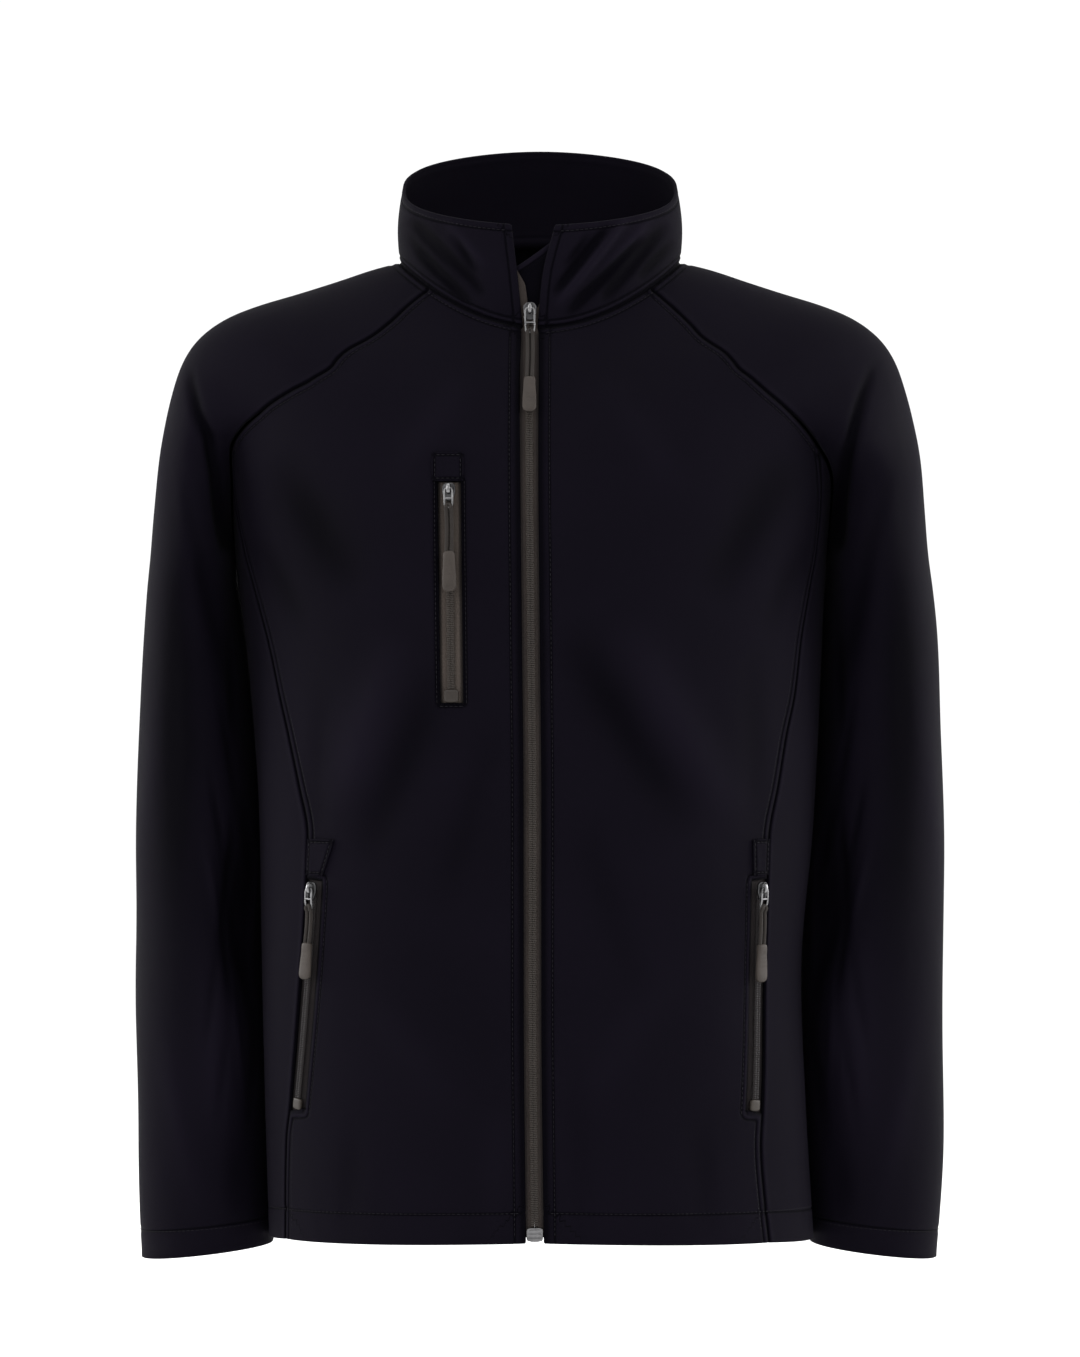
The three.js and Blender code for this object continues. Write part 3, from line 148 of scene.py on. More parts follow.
# sleeve folds: height, place round the sleeve (0 front seam, 0.5 outer line, 1 back), reach up and
# down, reach round, lean (how far round it moves over its height) and depth
sleeveFolds = [
    (-330, 0.3, 130, 0.06, 0.0, -3.0), (-470, 0.14, 50, 0.05, 0.0, -3.0),
    (-560, 0.2, 60, 0.05, 0.0, 2.5), (-440, 0.8, 70, 0.07, 0.0, 3.0),
    (-180, 0.8, 90, 0.08, 0.0, -4.0), (-250, 0.17, 70, 0.03, 0.05, -1.6),
    (-420, 0.1, 38, 0.016, 0.02, -1.5), (-455, 0.075, 42, 0.014, -0.02, 1.3),
    (-505, 0.12, 46, 0.016, 0.03, -1.4), (-585, 0.1, 40, 0.016, -0.02, -1.2),
    (-620, 0.3, 60, 0.03, 0.04, 0.9), (-390, 0.4, 80, 0.04, -0.05, 0.9),
    (-300, 0.62, 80, 0.04, 0.05, -1.6), (-500, 0.72, 60, 0.03, -0.04, -1.8),
    (-540, 0.86, 50, 0.025, 0.03, 1.4), (-600, 0.66, 60, 0.03, 0.03, -1.2),
    (-130, 0.42, 60, 0.05, 0.04, 1.2), (-660, 0.16, 30, 0.03, 0.0, -1.0),
    (-400, 0.19, 26, 0.009, 0.012, -1.6), (-438, 0.16, 34, 0.009, -0.014, -1.8),
    (-452, 0.205, 30, 0.010, 0.016, 1.4), (-498, 0.175, 36, 0.009, 0.012, -1.8),
    (-530, 0.215, 34, 0.010, -0.016, -1.3), (-556, 0.15, 30, 0.009, 0.010, 1.4),
    (-584, 0.19, 28, 0.009, -0.012, -1.5), (-350, 0.15, 36, 0.011, 0.016, -1.4),
    (-300, 0.12, 40, 0.013, -0.012, -1.6),
]

# the crease where a sleeve hangs from the shoulder: its points (x, z) from the front
armCreases = {
    "right": [(-252, -70), (-248, -88), (-242.5, -112), (-234.5, -130), (-230, -152), (-228, -177), (-224, -205)],
    "left": [(246, -68), (236, -80), (228, -100), (222.5, -119), (216.5, -144), (213.5, -177), (212, -205)],
}
armCrease = {"wide": 3.6, "deep": -5.0}


# a cubic between the rows of a table, with the harmonic mean of the slopes at each row
def smoothColumn(at, keys, values):
    order = np.argsort(keys)
    k, v = np.asarray(keys, float)[order], np.asarray(values, float)[order]
    slope = np.diff(v) / np.diff(k)
    product = slope[:-1] * slope[1:]
    total = np.where(product > 0, slope[:-1] + slope[1:], 1.0)
    lean = np.concatenate([slope[:1], np.where(product > 0, 2 * product / total, 0.0), slope[-1:]])
    x = np.clip(at, k[0], k[-1])
    i = np.clip(np.searchsorted(k, x, side="right") - 1, 0, len(k) - 2)
    span = k[i + 1] - k[i]
    t = (x - k[i]) / span
    rest = 1 - t
    return (v[i] * (1 + 2 * t) * rest**2 + v[i + 1] * t**2 * (3 - 2 * t)
            + span * (lean[i] * t * rest**2 - lean[i + 1] * t**2 * rest))


def ring(height, name):
    return smoothColumn(height, bodyRings["height"], bodyRings[name])


def unit(v):
    return v / np.maximum(np.linalg.norm(v, axis=-1, keepdims=True), 1e-12)


# the distance from an oval's middle to its edge, where a higher power makes it squarer
def ovalRadius(angle, power):
    return (np.abs(np.sin(angle))**power + np.abs(np.cos(angle))**power)**(-1 / power)


# the body's plain form: x is half the width times the sine, y the depth times the cosine, both on
# an oval of the ring's squareness, and z is the ring's height plus its lift by the cosine squared
def formPoint(angle, height):
    sine, cosine = np.sin(angle), np.cos(angle)
    radius = ovalRadius(angle, ring(height, "square"))
    half = np.where(sine < 0, ring(height, "right"), ring(height, "left"))
    middle = cut["middleY"]
    depth = np.where(cosine > 0, middle - ring(height, "front"), ring(height, "back") - middle)
    lift = np.where(cosine > 0, ring(height, "frontLift"), ring(height, "backLift"))
    return np.stack([half * radius * sine, middle - depth * radius * cosine, height + lift * cosine**2], -1)


# a fold is a bell across its line and a parabola along it; the depths of all folds are summed
def foldDepth(folds, x, z):
    depth = np.zeros(np.shape(x))
    for x0, z0, x1, z1, width, deep in folds:
        alongX, alongZ = x1 - x0, z1 - z0
        length = math.hypot(alongX, alongZ)
        along = ((x - x0) * alongX + (z - z0) * alongZ) / length**2
        across = ((x - x0) * alongZ - (z - z0) * alongX) / length
        taper = np.clip(1 - (2 * along - 1)**2 / 1.4, 0, None)
        depth += deep * taper * np.exp(-(across / width)**2)
    return depth


def normalOf(angle, height):
    across = formPoint(angle + 0.002, height) - formPoint(angle - 0.002, height)
    up = formPoint(angle, height + 0.3) - formPoint(angle, height - 0.3)
    return unit(np.cross(across, up))


# cloth is never quite even: a sum of slow waves in x and z, in millimetres
waveRanges = ((0.018, 0.06), (0.012, 0.05), (0, 6.3), (0.08, 0.24))
waves = [tuple(rng.uniform(*limits) for limits in waveRanges) for _ in range(14)]


def unevenness(x, z):
    total = np.zeros(np.shape(x))
    for i, (fx, fz, phase, size) in enumerate(waves):
        total += size * np.sin(fx * x * (1 if i % 2 else -1) + fz * z + phase)
    return total


def bodyFold(angle, x, z):
    return np.where(np.cos(angle) > 0, foldDepth(frontFolds, x, z), foldDepth(backFolds, x, z))


def body(angle, height, out=0.0):
    point = formPoint(angle, height)
    x, z = point[..., 0], point[..., 2]
    facing = np.clip(np.cos(angle)**2 / 0.15, 0, 1)
    raised = out + (bodyFold(angle, x, z) + unevenness(x, z) * np.clip(-height / 60, 0, 1)) * facing
    return point + normalOf(angle, height) * raised[..., None]


# the ring's height where the form reaches a level, by halving the bracket
def heightAt(angle, z):
    low, high = np.full(np.shape(z), cut["hemHeight"] - 10.0), np.zeros(np.shape(z))
    square = np.cos(angle)**2
    front = np.cos(angle) > 0
    for _ in range(34):
        middle = (low + high) / 2
        lift = np.where(front, ring(middle, "frontLift"), ring(middle, "backLift"))
        below = middle + lift * square < z
        low, high = np.where(below, middle, low), np.where(below, high, middle)
    return (low + high) / 2


# the angle and height of the front's or back's point that shows at x, z
def locate(x, z, atBack=False):
    x, z = np.broadcast_arrays(np.asarray(x, float), np.asarray(z, float))
    low, high = np.full(x.shape, cut["hemHeight"] - 10.0), np.zeros(x.shape)
    for _ in range(36):
        middle = (low + high) / 2
        power = ring(middle, "square")
        half = np.where(x < 0, ring(middle, "right"), ring(middle, "left"))
        p = np.clip(x / half, -0.99999, 0.99999)
        q = (1 - np.abs(p)**power)**(1 / power)
        angle = np.arctan2(p, q)
        lift = ring(middle, "backLift" if atBack else "frontLift")
        below = middle + lift * np.cos(angle)**2 < z
        low, high = np.where(below, middle, low), np.where(below, high, middle)
    return (math.pi - angle if atBack else angle), (low + high) / 2


def onFront(x, z, out=0.0):
    angle, height = locate(x, z)
    return body(angle, height, out)


def zipX(z):
    return smoothColumn(z, frontZipLine["z"], frontZipLine["x"])


def chestX(z):
    return smoothColumn(z, chestZipLine["z"], chestZipLine["x"])


def princess(side, z):
    return smoothColumn(z, princessLine["z"], princessLine[side])


def handX(side):
    return lambda z: sides[side] * (princess(side, z) - cut["handWindow"] / 2)


# the armhole's stations as smooth curves of the station number, front seam and back seam
def seamCurve(side, front):
    sign = sides[side]
    if front:
        angle, height = locate(sign * np.array(raglan[side], float), np.array(raglan["frontZ"], float))
        lowAngle = sign * np.radians(underArm["frontAngle"])
        lowHeight = heightAt(lowAngle, np.array(underArm["frontZ"], float))
    else:
        name = "backRight" if side == "right" else "backLeft"
        angle, height = locate(sign * np.array(raglan[name], float), np.array(raglan["backZ"], float), True)
        angle = np.where(angle * sign < 0, angle + sign * 2 * math.pi, angle)
        lowAngle = sign * np.radians(underArm["backAngle"])
        lowHeight = heightAt(lowAngle, np.array(underArm["backZ"], float))
    angle, height = np.append(angle, lowAngle), np.append(height, lowHeight)
    height[0] = 0.0
    station = np.arange(len(angle))
    return lambda s: (smoothColumn(s, station, angle), smoothColumn(s, station, height))


seams = {(side, front): seamCurve(side, front) for side in sides for front in (True, False)}
lastStation = 13.0
princessStation = 10.0


# the angle of a seam's station near the neck
def neckAngle(side, front, station=0.0):
    return seams[side, front](np.array([station]))[0][0]


# the step from a seam across its gap, on the form: the seam's run crossed with the normal
def seamStep(side, front, s, length):
    angle, height = seams[side, front](s)
    ahead = seams[side, front](np.minimum(s + 0.05, lastStation))
    behind = seams[side, front](np.maximum(s - 0.05, 0))
    along = body(*ahead) - body(*behind)
    if not front:
        along = -along
    return unit(np.cross(along, normalOf(angle, height))) * sides[side] * length


print("form ready")


# the faces of a closed shell: an outer grid, an inner grid and a rounded strip round their border
def shellFaces(rows, cells):
    index = np.arange(rows * cells).reshape(rows, cells)
    outerQuads = np.stack([index[:-1, :-1], index[:-1, 1:], index[1:, 1:], index[1:, :-1]], -1).reshape(-1, 4)
    border = np.concatenate([index[0, :], index[1:, -1], index[-1, -2::-1], index[-2:0:-1, 0]])
    inward = np.concatenate([index[1, :], index[1:, -2], index[-2, -2::-1], index[-2:0:-1, 1]])
    count, total = len(border), rows * cells
    after = np.roll(border, -1)
    strip = 2 * total + np.arange(count)
    stripAfter = np.roll(strip, -1)
    return np.concatenate([
        outerQuads, outerQuads[:, ::-1] + total,
        np.stack([after, border, strip, stripAfter], -1),
        np.stack([stripAfter, strip, border + total, after + total], -1),
    ]), border, inward


def meshFrom(name, points, quads, uv=None, fields=None):
    mesh = bpy.data.meshes.new(name)
    mesh.vertices.add(len(points))
    mesh.vertices.foreach_set("co", (np.asarray(points) * mm).astype(np.float32).ravel())
    quads = np.asarray(quads, np.int32)
    sizes = np.full(len(quads), quads.shape[1], np.int32)
    mesh.loops.add(quads.size)
    mesh.loops.foreach_set("vertex_index", quads.ravel())
    mesh.polygons.add(len(quads))
    mesh.polygons.foreach_set("loop_start", np.arange(0, quads.size, quads.shape[1], dtype=np.int32))
    mesh.polygons.foreach_set("loop_total", sizes)
    mesh.polygons.foreach_set("use_smooth", np.ones(len(quads), bool))
    if uv is not None:
        layer = mesh.uv_layers.new(name="weave")
        layer.data.foreach_set("uv", (uv[quads.ravel()] * mm).astype(np.float32).ravel())
    for fieldName, values in (fields or {}).items():
        attribute = mesh.attributes.new(fieldName, "FLOAT", "POINT")
        attribute.data.foreach_set("value", np.asarray(values, np.float32))
    mesh.update(calc_edges=True)
    mesh.validate()
    return mesh


# a signed volume: a sixth of the sum of each face's corner products
def signedVolume(points, quads):
    a, b, c = points[quads[:, 0]], points[quads[:, 1]], points[quads[:, 2]]
    volume = np.einsum("ij,ij->i", a, np.cross(b, c)).sum()
    if quads.shape[1] == 4:
        volume += np.einsum("ij,ij->i", a, np.cross(c, points[quads[:, 3]])).sum()
    return volume


looks = {}


def addPiece(name, points, quads, look, nodes=(), onBody="jacket", uv=None, fields=None):
    points = np.asarray(points, float)
    if signedVolume(points, quads) < 0:
        quads = quads[:, ::-1]
    piece = bpy.data.objects.new(name, meshFrom(name, points, quads, uv, fields))
    bpy.context.scene.collection.objects.link(piece)
    piece.data.materials.append(looks[look])
    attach(piece, onBody)
    if nodes:
        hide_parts(*nodes)
    return piece


def gridNormals(grid):
    return unit(np.cross(np.gradient(grid, axis=1), np.gradient(grid, axis=0)))


def facing(normals, outward):
    return -normals if (normals * outward).sum(-1).mean() < 0 else normals


def arcLength(line):
    return np.concatenate([[0], np.cumsum(np.linalg.norm(np.diff(line, axis=0), axis=1))])


# the values of a line's points at given lengths along it
def alongLine(at, length, values):
    return np.stack([np.interp(at, length, values[:, i]) for i in range(3)], -1)


def resample(line, spacing):
    length = arcLength(line)
    count = max(int(length[-1] / spacing), 2)
    return alongLine(np.linspace(0, length[-1], count), length, line)


lineSearch = {"spacing": 1.5, "batch": 4000, "far": 60.0}


# distance from points to a line of points: the nearest vertex, then the two segments that meet there
def lineDistance(points, line):
    flat = points.reshape(-1, 3).astype(np.float32)
    line = resample(line, lineSearch["spacing"]).astype(np.float32)
    best = np.empty(len(flat), np.int64)
    for start in range(0, len(flat), lineSearch["batch"]):
        batch = slice(start, start + lineSearch["batch"])
        best[batch] = ((flat[batch][:, None, :] - line[None, :, :])**2).sum(-1).argmin(1)
    result = np.full(len(flat), 1e9)
    for shift in (-1, 0):
        i = np.clip(best + shift, 0, len(line) - 2)
        a, b = line[i], line[i + 1]
        run = b - a
        t = np.clip(((flat - a) * run).sum(-1) / np.maximum((run**2).sum(-1), 1e-9), 0, 1)
        result = np.minimum(result, np.linalg.norm(flat - a - t[:, None] * run, axis=-1))
    return result.reshape(points.shape[:-1])


# arc length along the rows and up the columns of a grid
def gridUV(grid):
    across = np.linalg.norm(np.diff(grid, axis=1), axis=-1)
    up = np.linalg.norm(np.diff(grid, axis=0), axis=-1)
    u = np.concatenate([np.zeros((grid.shape[0], 1)), np.cumsum(across, 1)], 1)
    v = np.concatenate([np.zeros((1, grid.shape[1])), np.cumsum(up, 0)], 0)
    return np.stack([u, v], -1)


# a grid's area in square metres: half the cross product of each cell's diagonals
def gridArea(grid):
    diagonals = np.cross(grid[1:, 1:] - grid[:-1, :-1], grid[1:, :-1] - grid[:-1, 1:])
    return np.linalg.norm(diagonals, axis=-1).sum() / 2 * mm * mm


# how the cloth lies beside its seams: it rolls in at a seam, and dips along a row of stitches
roll = {
    "deep": 0.9, "reach": 1.6, "zipDeep": 1.5, "zipReach": 5.0, "dip": 0.55, "dipReach": 1.1,
    "openingDeep": 0.8, "openingReach": 2.4, "openingShade": 1.5, "seamRow": 5.0, "zipRow": 8.0, "hemRow": 21.0,
}


# a wall of cloth: the outer grid is moved in where it meets a seam, the inner grid lies a thickness
# behind it along the grid's normals, and the border between them bulges by a third of the thickness
def clothPiece(name, grid, thickness, outward, seamsOf, rowsOf, nodes, flat,
               zipEdge=None, normals=None, paintedShading=None, opening=None):
    normals = facing(gridNormals(grid) if normals is None else normals, outward)
    far = np.full(grid.shape[:2], lineSearch["far"])
    seam, stitch, zipGap = far, far, far
    for line in seamsOf:
        seam = np.minimum(seam, lineDistance(grid, line))
    for line, away in rowsOf:
        signed = lineDistance(grid, line) - away
        stitch = np.where(np.abs(signed) < np.abs(stitch), signed, stitch)
    moved = -roll["deep"] * np.exp(-(seam / roll["reach"])**2) - roll["dip"] * np.exp(-(stitch / roll["dipReach"])**2)
    if zipEdge is not None:
        # the distance to the zip edge also sets painted shade on the cloth beside the zip
        zipGap = lineDistance(grid, zipEdge)
        moved -= roll["zipDeep"] * np.exp(-(zipGap / roll["zipReach"])**2)
    if opening is not None:
        beside = lineDistance(grid, opening)
        moved -= roll["openingDeep"] * np.exp(-(beside / roll["openingReach"])**2)
        # the cloth round the chest opening gets the same painted shade, over a wider reach
        zipGap = np.minimum(zipGap, beside * roll["openingShade"])
    outer = grid + normals * moved[..., None]
    inner = outer - normals * thickness
    rows, cells = grid.shape[:2]
    faces, border, inward = shellFaces(rows, cells)
    outerFlat, innerFlat = outer.reshape(-1, 3), inner.reshape(-1, 3)
    edge = unit(outerFlat[border] - outerFlat[inward]) * thickness * 0.3
    strip = (outerFlat[border] + innerFlat[border]) / 2 + edge
    points = np.concatenate([outerFlat, innerFlat, strip])
    uv = gridUV(grid).reshape(-1, 2)
    uv = np.concatenate([uv, uv, uv[border]])

    def spread(values, inside=lineSearch["far"]):
        values = values.reshape(-1)
        return np.concatenate([values, np.full(len(values), inside), values[border]])

    # paintedShading: painted shade in fold troughs and painted light on fold ridges, with a little painted shade on
    # the inner face
    paintedShading = np.zeros(grid.shape[:2]) if paintedShading is None else np.clip(paintedShading, -1, 1)
    fields = {"seam": spread(seam), "stitch": spread(stitch), "zipGap": spread(zipGap), "paintedShading": spread(paintedShading, -0.3)}
    piece = addPiece(name, points, faces, "cloth", nodes, uv=uv, fields=fields)
    min(gridArea(grid), flat[0] * flat[1])


# stitches: short round threads laid along a line, one after another
stitchSize = {"long": 2.5, "gap": 0.9, "half": 0.26, "lift": 0.1}
stitchRings = ((-0.5, 0.35), (-0.22, 1.0), (0.22, 1.0), (0.5, 0.35))
stitchRuns = []
fourCorners = np.linspace(0, 2 * math.pi, 4, endpoint=False) + math.pi / 4  # round a thin thread's section


def stitchAlong(line, normals):
    spacing = stitchSize["long"] + stitchSize["gap"]
    length = arcLength(line)
    at = np.arange(spacing, length[-1] - spacing / 2, spacing)
    if len(at) < 1:
        return
    middle, normal = alongLine(at, length, line), unit(alongLine(at, length, normals))
    run = unit(alongLine(at + 0.6, length, line) - alongLine(at - 0.6, length, line))
    side = unit(np.cross(run, normal))
    rings = []
    for place, size in stitchRings:
        centre = middle + run * place * stitchSize["long"] + normal * (stitchSize["lift"] - 0.3 * (1 - size))
        oval = (1.3 * np.cos(fourCorners)[None, :, None] * side[:, None, :]
                + np.sin(fourCorners)[None, :, None] * normal[:, None, :])
        rings.append(centre[:, None, :] + stitchSize["half"] * size * oval)
    stitchRuns.append(np.stack(rings, 1))


# tubes of four-sided rings, one for each item: side faces from ring to ring and a face at each end
def tubeFaces(count, ringCount):
    base = np.arange(ringCount * 4).reshape(ringCount, 4)
    after = np.roll(base, -1, axis=1)
    sideQuads = np.stack([base[:-1], after[:-1], after[1:], base[1:]], -1).reshape(-1, 4)
    quads = np.concatenate([sideQuads, base[0][None, ::-1], base[-1][None, :]])
    return (quads[None] + (np.arange(count) * ringCount * 4)[:, None, None]).reshape(-1, 4)


# sums of sockets written as expressions, each adding its Math node
class Term:
    def __init__(self, tree, socket):
        self.tree, self.socket = tree, socket

    def combine(self, operation, first, second):
        node = self.tree.nodes.new("ShaderNodeMath")
        node.operation = operation
        for slotIndex, value in enumerate((first, second)):
            if isinstance(value, Term):
                self.tree.links.new(value.socket, node.inputs[slotIndex])
            else:
                node.inputs[slotIndex].default_value = value
        return Term(self.tree, node.outputs[0])

    def __add__(self, other): return self.combine("ADD", self, other)
    def __sub__(self, other): return self.combine("SUBTRACT", self, other)
    def __mul__(self, other): return self.combine("MULTIPLY", self, other)
    def __truediv__(self, other): return self.combine("DIVIDE", self, other)
    def __rpow__(self, other): return self.combine("POWER", other, self)
    def least(self, other): return self.combine("MINIMUM", self, other)
    def most(self, other): return self.combine("MAXIMUM", self, other)
    def sine(self): return self.combine("SINE", self, 0.0)

    # a bell of a distance: e to the power of minus its square
    def bell(self, reach):
        share = self / reach
        return math.e ** (share * share * -1.0)


class Finish:
    def __init__(self, name, roughness, **shaderValues):
        self.material = bpy.data.materials.new(name)
        self.material.use_nodes = True
        self.tree = self.material.node_tree
        self.shader = next(n for n in self.tree.nodes if n.type == "BSDF_PRINCIPLED")
        self.shader.inputs["Roughness"].default_value = roughness
        for socketName, value in shaderValues.items():
            self.shader.inputs[socketName.replace("_", " ")].default_value = value
        self.coordinates = self.node("ShaderNodeTexCoord").outputs
        looks[name] = self.material

    # any node: its type, its settings, then values or links for its sockets by name or number
    def node(self, kind, settings=None, sockets=None):
        made = self.tree.nodes.new(kind)
        for key, value in (settings or {}).items():
            setattr(made, key, value)
        for key, value in (sockets or {}).items():
            value = value.socket if isinstance(value, Term) else value
            if isinstance(value, bpy.types.NodeSocket):
                self.tree.links.new(value, made.inputs[key])
            else:
                made.inputs[key].default_value = value
        return made

    def field(self, name):
        return Term(self.tree, self.node("ShaderNodeAttribute", {"attribute_name": name}).outputs["Fac"])

    def noise(self, scale, detail=2.0, stretch=(1, 1, 1)):
        mapped = self.node("ShaderNodeMapping", None, {"Vector": self.coordinates["Object"], "Scale": stretch})
        made = self.node("ShaderNodeTexNoise", None, {"Vector": mapped.outputs[0], "Scale": scale, "Detail": detail})
        return Term(self.tree, made.outputs[0])

    def axis(self, source, name):
        split = self.node("ShaderNodeSeparateXYZ", None, {0: self.coordinates[source]})
        return Term(self.tree, split.outputs[name])

    def colour(self, dark, light, share):
        made = self.node("ShaderNodeMix", {"data_type": "RGBA"}, {0: share})
        made.inputs[6].default_value = (*dark, 1.0)
        made.inputs[7].default_value = (*light, 1.0)
        return made.outputs[2]

    # the height is in millimetres of relief
    def paint(self, colour, roughness, height=None):
        self.tree.links.new(colour, self.shader.inputs["Base Color"])
        self.tree.links.new(roughness.socket, self.shader.inputs["Roughness"])
        if height is not None:
            bump = self.node("ShaderNodeBump", None, {"Height": height, "Strength": 1.0, "Distance": mm})
            self.tree.links.new(bump.outputs[0], self.shader.inputs["Normal"])


clothLook = {
    "dark": (0.0006, 0.0004, 0.0013), "light": (0.0040, 0.0031, 0.0062), "roughness": 0.7,
    "sheen": 0.004, "sheenRoughness": 0.45, "weave": 0.00052, "specular": 0.02,
}


# woven cloth: fine threads and slow crumples, sunk at seams and stitches and puckered beside them, with painted shade
# at seams, stitches, zip edges and fold troughs and painted highlight beside seams and on fold ridges
def clothFinish():
    f = Finish("cloth", clothLook["roughness"], Sheen_Weight=clothLook["sheen"],
               Sheen_Roughness=clothLook["sheenRoughness"], Specular_IOR_Level=clothLook["specular"])
    u, v = f.axis("UV", "X"), f.axis("UV", "Y")
    thread = 2 * math.pi / clothLook["weave"]
    weave = (u * thread).sine() * (v * thread).sine()
    fibre = f.noise(1500.0, 3.0)
    patch = f.noise(9.0, 3.0)
    crumple = f.noise(42.0, 2.0, (1, 1, 0.6)) * 0.5 + f.noise(17.0, 2.0, (1.2, 1, 0.5)) * 0.9
    seam, stitch, zipGap, paintedShading = f.field("seam"), f.field("stitch"), f.field("zipGap"), f.field("paintedShading")
    pucker = f.noise(190.0, 1.0) * stitch.bell(3.5) * 0.5 + f.noise(190.0, 1.0) * seam.bell(4.0) * 0.5
    height = (weave * 0.035 + fibre * 0.05 + crumple + pucker * 1.2
              - stitch.bell(0.9) * 0.6 - seam.bell(1.1) * 0.7 + (seam - 2.6).bell(1.7) * 0.4)
    # the colour's share: painted shade at seams, stitch dips, zip edges and fold troughs, painted highlight beside
    # seams and on fold ridges; fibre and patch are the cloth's own tone
    share = (fibre * 0.5 + patch * 0.55 + paintedShading * 0.6 + (seam - 2.6).bell(1.5) * 0.25
             - seam.bell(1.5) * 0.9 - zipGap.bell(3.6) * 0.9 - stitch.bell(0.75) * 0.75)
    colour = f.colour(clothLook["dark"], clothLook["light"], share.most(0.0).least(1.0))
    f.paint(colour, (patch * 0.2 + fibre * 0.1 + clothLook["roughness"] - 0.15).least(0.95), height)


def threadFinish():
    f = Finish("thread", 0.55, Specular_IOR_Level=0.06)
    twist = (f.axis("Object", "Z") * 5200.0 + f.axis("Object", "X") * 5200.0).sine()
    grain = f.noise(600.0, 2.0)
    colour = f.colour((0.0030, 0.0026, 0.0040), (0.0095, 0.0085, 0.0115), grain)
    f.paint(colour, grain * 0.2 + 0.45, twist * 0.06 + grain * 0.05)


# woven zip tape: ribs up its length with finer picks across
def tapeFinish(name, dark, light):
    f = Finish(name, 0.8, Sheen_Weight=0.02, Specular_IOR_Level=0.07)
    u, v = f.axis("UV", "X"), f.axis("UV", "Y")
    ribs = (u * (2 * math.pi / 0.00082)).sine()
    picks = (v * (2 * math.pi / 0.0009) + ribs * 0.9).sine()
    grain = f.noise(1400.0, 2.0)
    patch = f.noise(30.0, 2.0)
    # the shade field is painted shade, darker towards the tape's edges where the cloth's edges roll over it
    share = (grain * 0.5 + patch * 0.35 + ribs * 0.16 + picks * 0.12 - f.field("shade") * 1.0).most(0.0).least(1.0)
    f.paint(f.colour(dark, light, share), grain * 0.15 + 0.7, ribs * 0.06 + picks * 0.05 + grain * 0.06)


def coilFinish(name, dark, light):
    f = Finish(name, 0.42, Specular_IOR_Level=0.16)
    grain = f.noise(900.0, 2.0)
    patch = f.noise(40.0, 2.0)
    f.paint(f.colour(dark, light, (grain * 0.5 + patch * 0.6).least(1.0)), patch * 0.25 + 0.32, grain * 0.03)


def metalFinish():
    f = Finish("metal", 0.3, Specular_IOR_Level=0.5)
    brushed = f.noise(700.0, 2.0, (1, 1, 0.12))
    patch = f.noise(160.0, 3.0)
    # paintedGlint: a painted highlight, lighter on the slider's arch, the tab and the stops than on the wings
    share = (patch * 0.45 + brushed * 0.15 + f.field("paintedGlint") * 0.55 - 0.15).most(0.0).least(1.0)
    f.paint(f.colour((0.012, 0.012, 0.013), (0.230, 0.228, 0.232), share),
            brushed * 0.18 + patch * 0.15 + 0.16, brushed * 0.02 + patch * 0.03)
    f.shader.inputs["Metallic"].default_value = 1.0


# braided cord: two sets of strands that cross on the slant, from the arc length and turn of its map
def cordFinish():
    f = Finish("cord", 0.7, Sheen_Weight=0.03, Specular_IOR_Level=0.08)
    u, v = f.axis("UV", "X") * 1000.0, f.axis("UV", "Y") * 1000.0
    left, right = (v * 3.6 + u * 3.6).sine(), (v * 3.6 - u * 3.6).sine()
    braid = left * right
    grain = f.noise(1200.0, 2.0)
    share = (braid * 0.22 + grain * 0.5 + 0.25).most(0.0).least(1.0)
    colour = f.colour((0.0085, 0.0072, 0.0066), (0.034, 0.0290, 0.0262), share)
    f.paint(colour, grain * 0.15 + 0.6, braid * 0.16 + grain * 0.04)


def tipFinish():
    f = Finish("tip", 0.5, Specular_IOR_Level=0.14)
    grain = f.noise(1100.0, 3.0)
    patch = f.noise(90.0, 2.0)
    colour = f.colour((0.016, 0.0128, 0.0112), (0.042, 0.0350, 0.0305), (patch * 0.7 + grain * 0.3).least(1.0))
    f.paint(colour, patch * 0.25 + 0.38, grain * 0.05)


def floorFinish():
    f = Finish("floor", 0.9, Specular_IOR_Level=0.2)
    grain = f.noise(3.0, 3.0)
    f.paint(f.colour((0.965, 0.965, 0.965), (0.975, 0.975, 0.975), grain), grain * 0.05 + 0.9)


clothFinish()
threadFinish()
tapeFinish("tape", (0.0080, 0.0062, 0.0060), (0.050, 0.0405, 0.0362))
tapeFinish("chestTape", (0.0110, 0.0088, 0.0080), (0.086, 0.0700, 0.0600))
tapeFinish("handTape", (0.0052, 0.0039, 0.0042), (0.0130, 0.0100, 0.0105))
coilFinish("coil", (0.010, 0.0082, 0.0074), (0.034, 0.028, 0.0235))
coilFinish("handCoil", (0.0040, 0.0031, 0.0034), (0.0115, 0.0092, 0.0094))
metalFinish()
cordFinish()
tipFinish()
floorFinish()
print("materials ready")


panelRows = np.unique(np.concatenate([
    np.linspace(-697, -137, 186),
    [-696, -694.5, -442, -441, -605, -604, -606.5, -439.5, -139, -142, -146],
]))
inOpening = (panelRows < handPocket["top"] - 0.5) & (panelRows > handPocket["bottom"] - 0.5)
rowShare = (panelRows - panelRows[0]) / (panelRows[-1] - panelRows[0])
edges = {"zipBottom": -693.0, "zipTop": -52.0, "backBottom": -704.0, "backTop": -150.0, "neckLevel": -50.0}


# even columns, with more beside both edges of a width in millimetres
def edgeColumns(count, width):
    near = np.array([0.9, 2.1, 3.8]) / width
    return np.unique(np.concatenate([np.linspace(0, 1, count), near, 1 - near]))


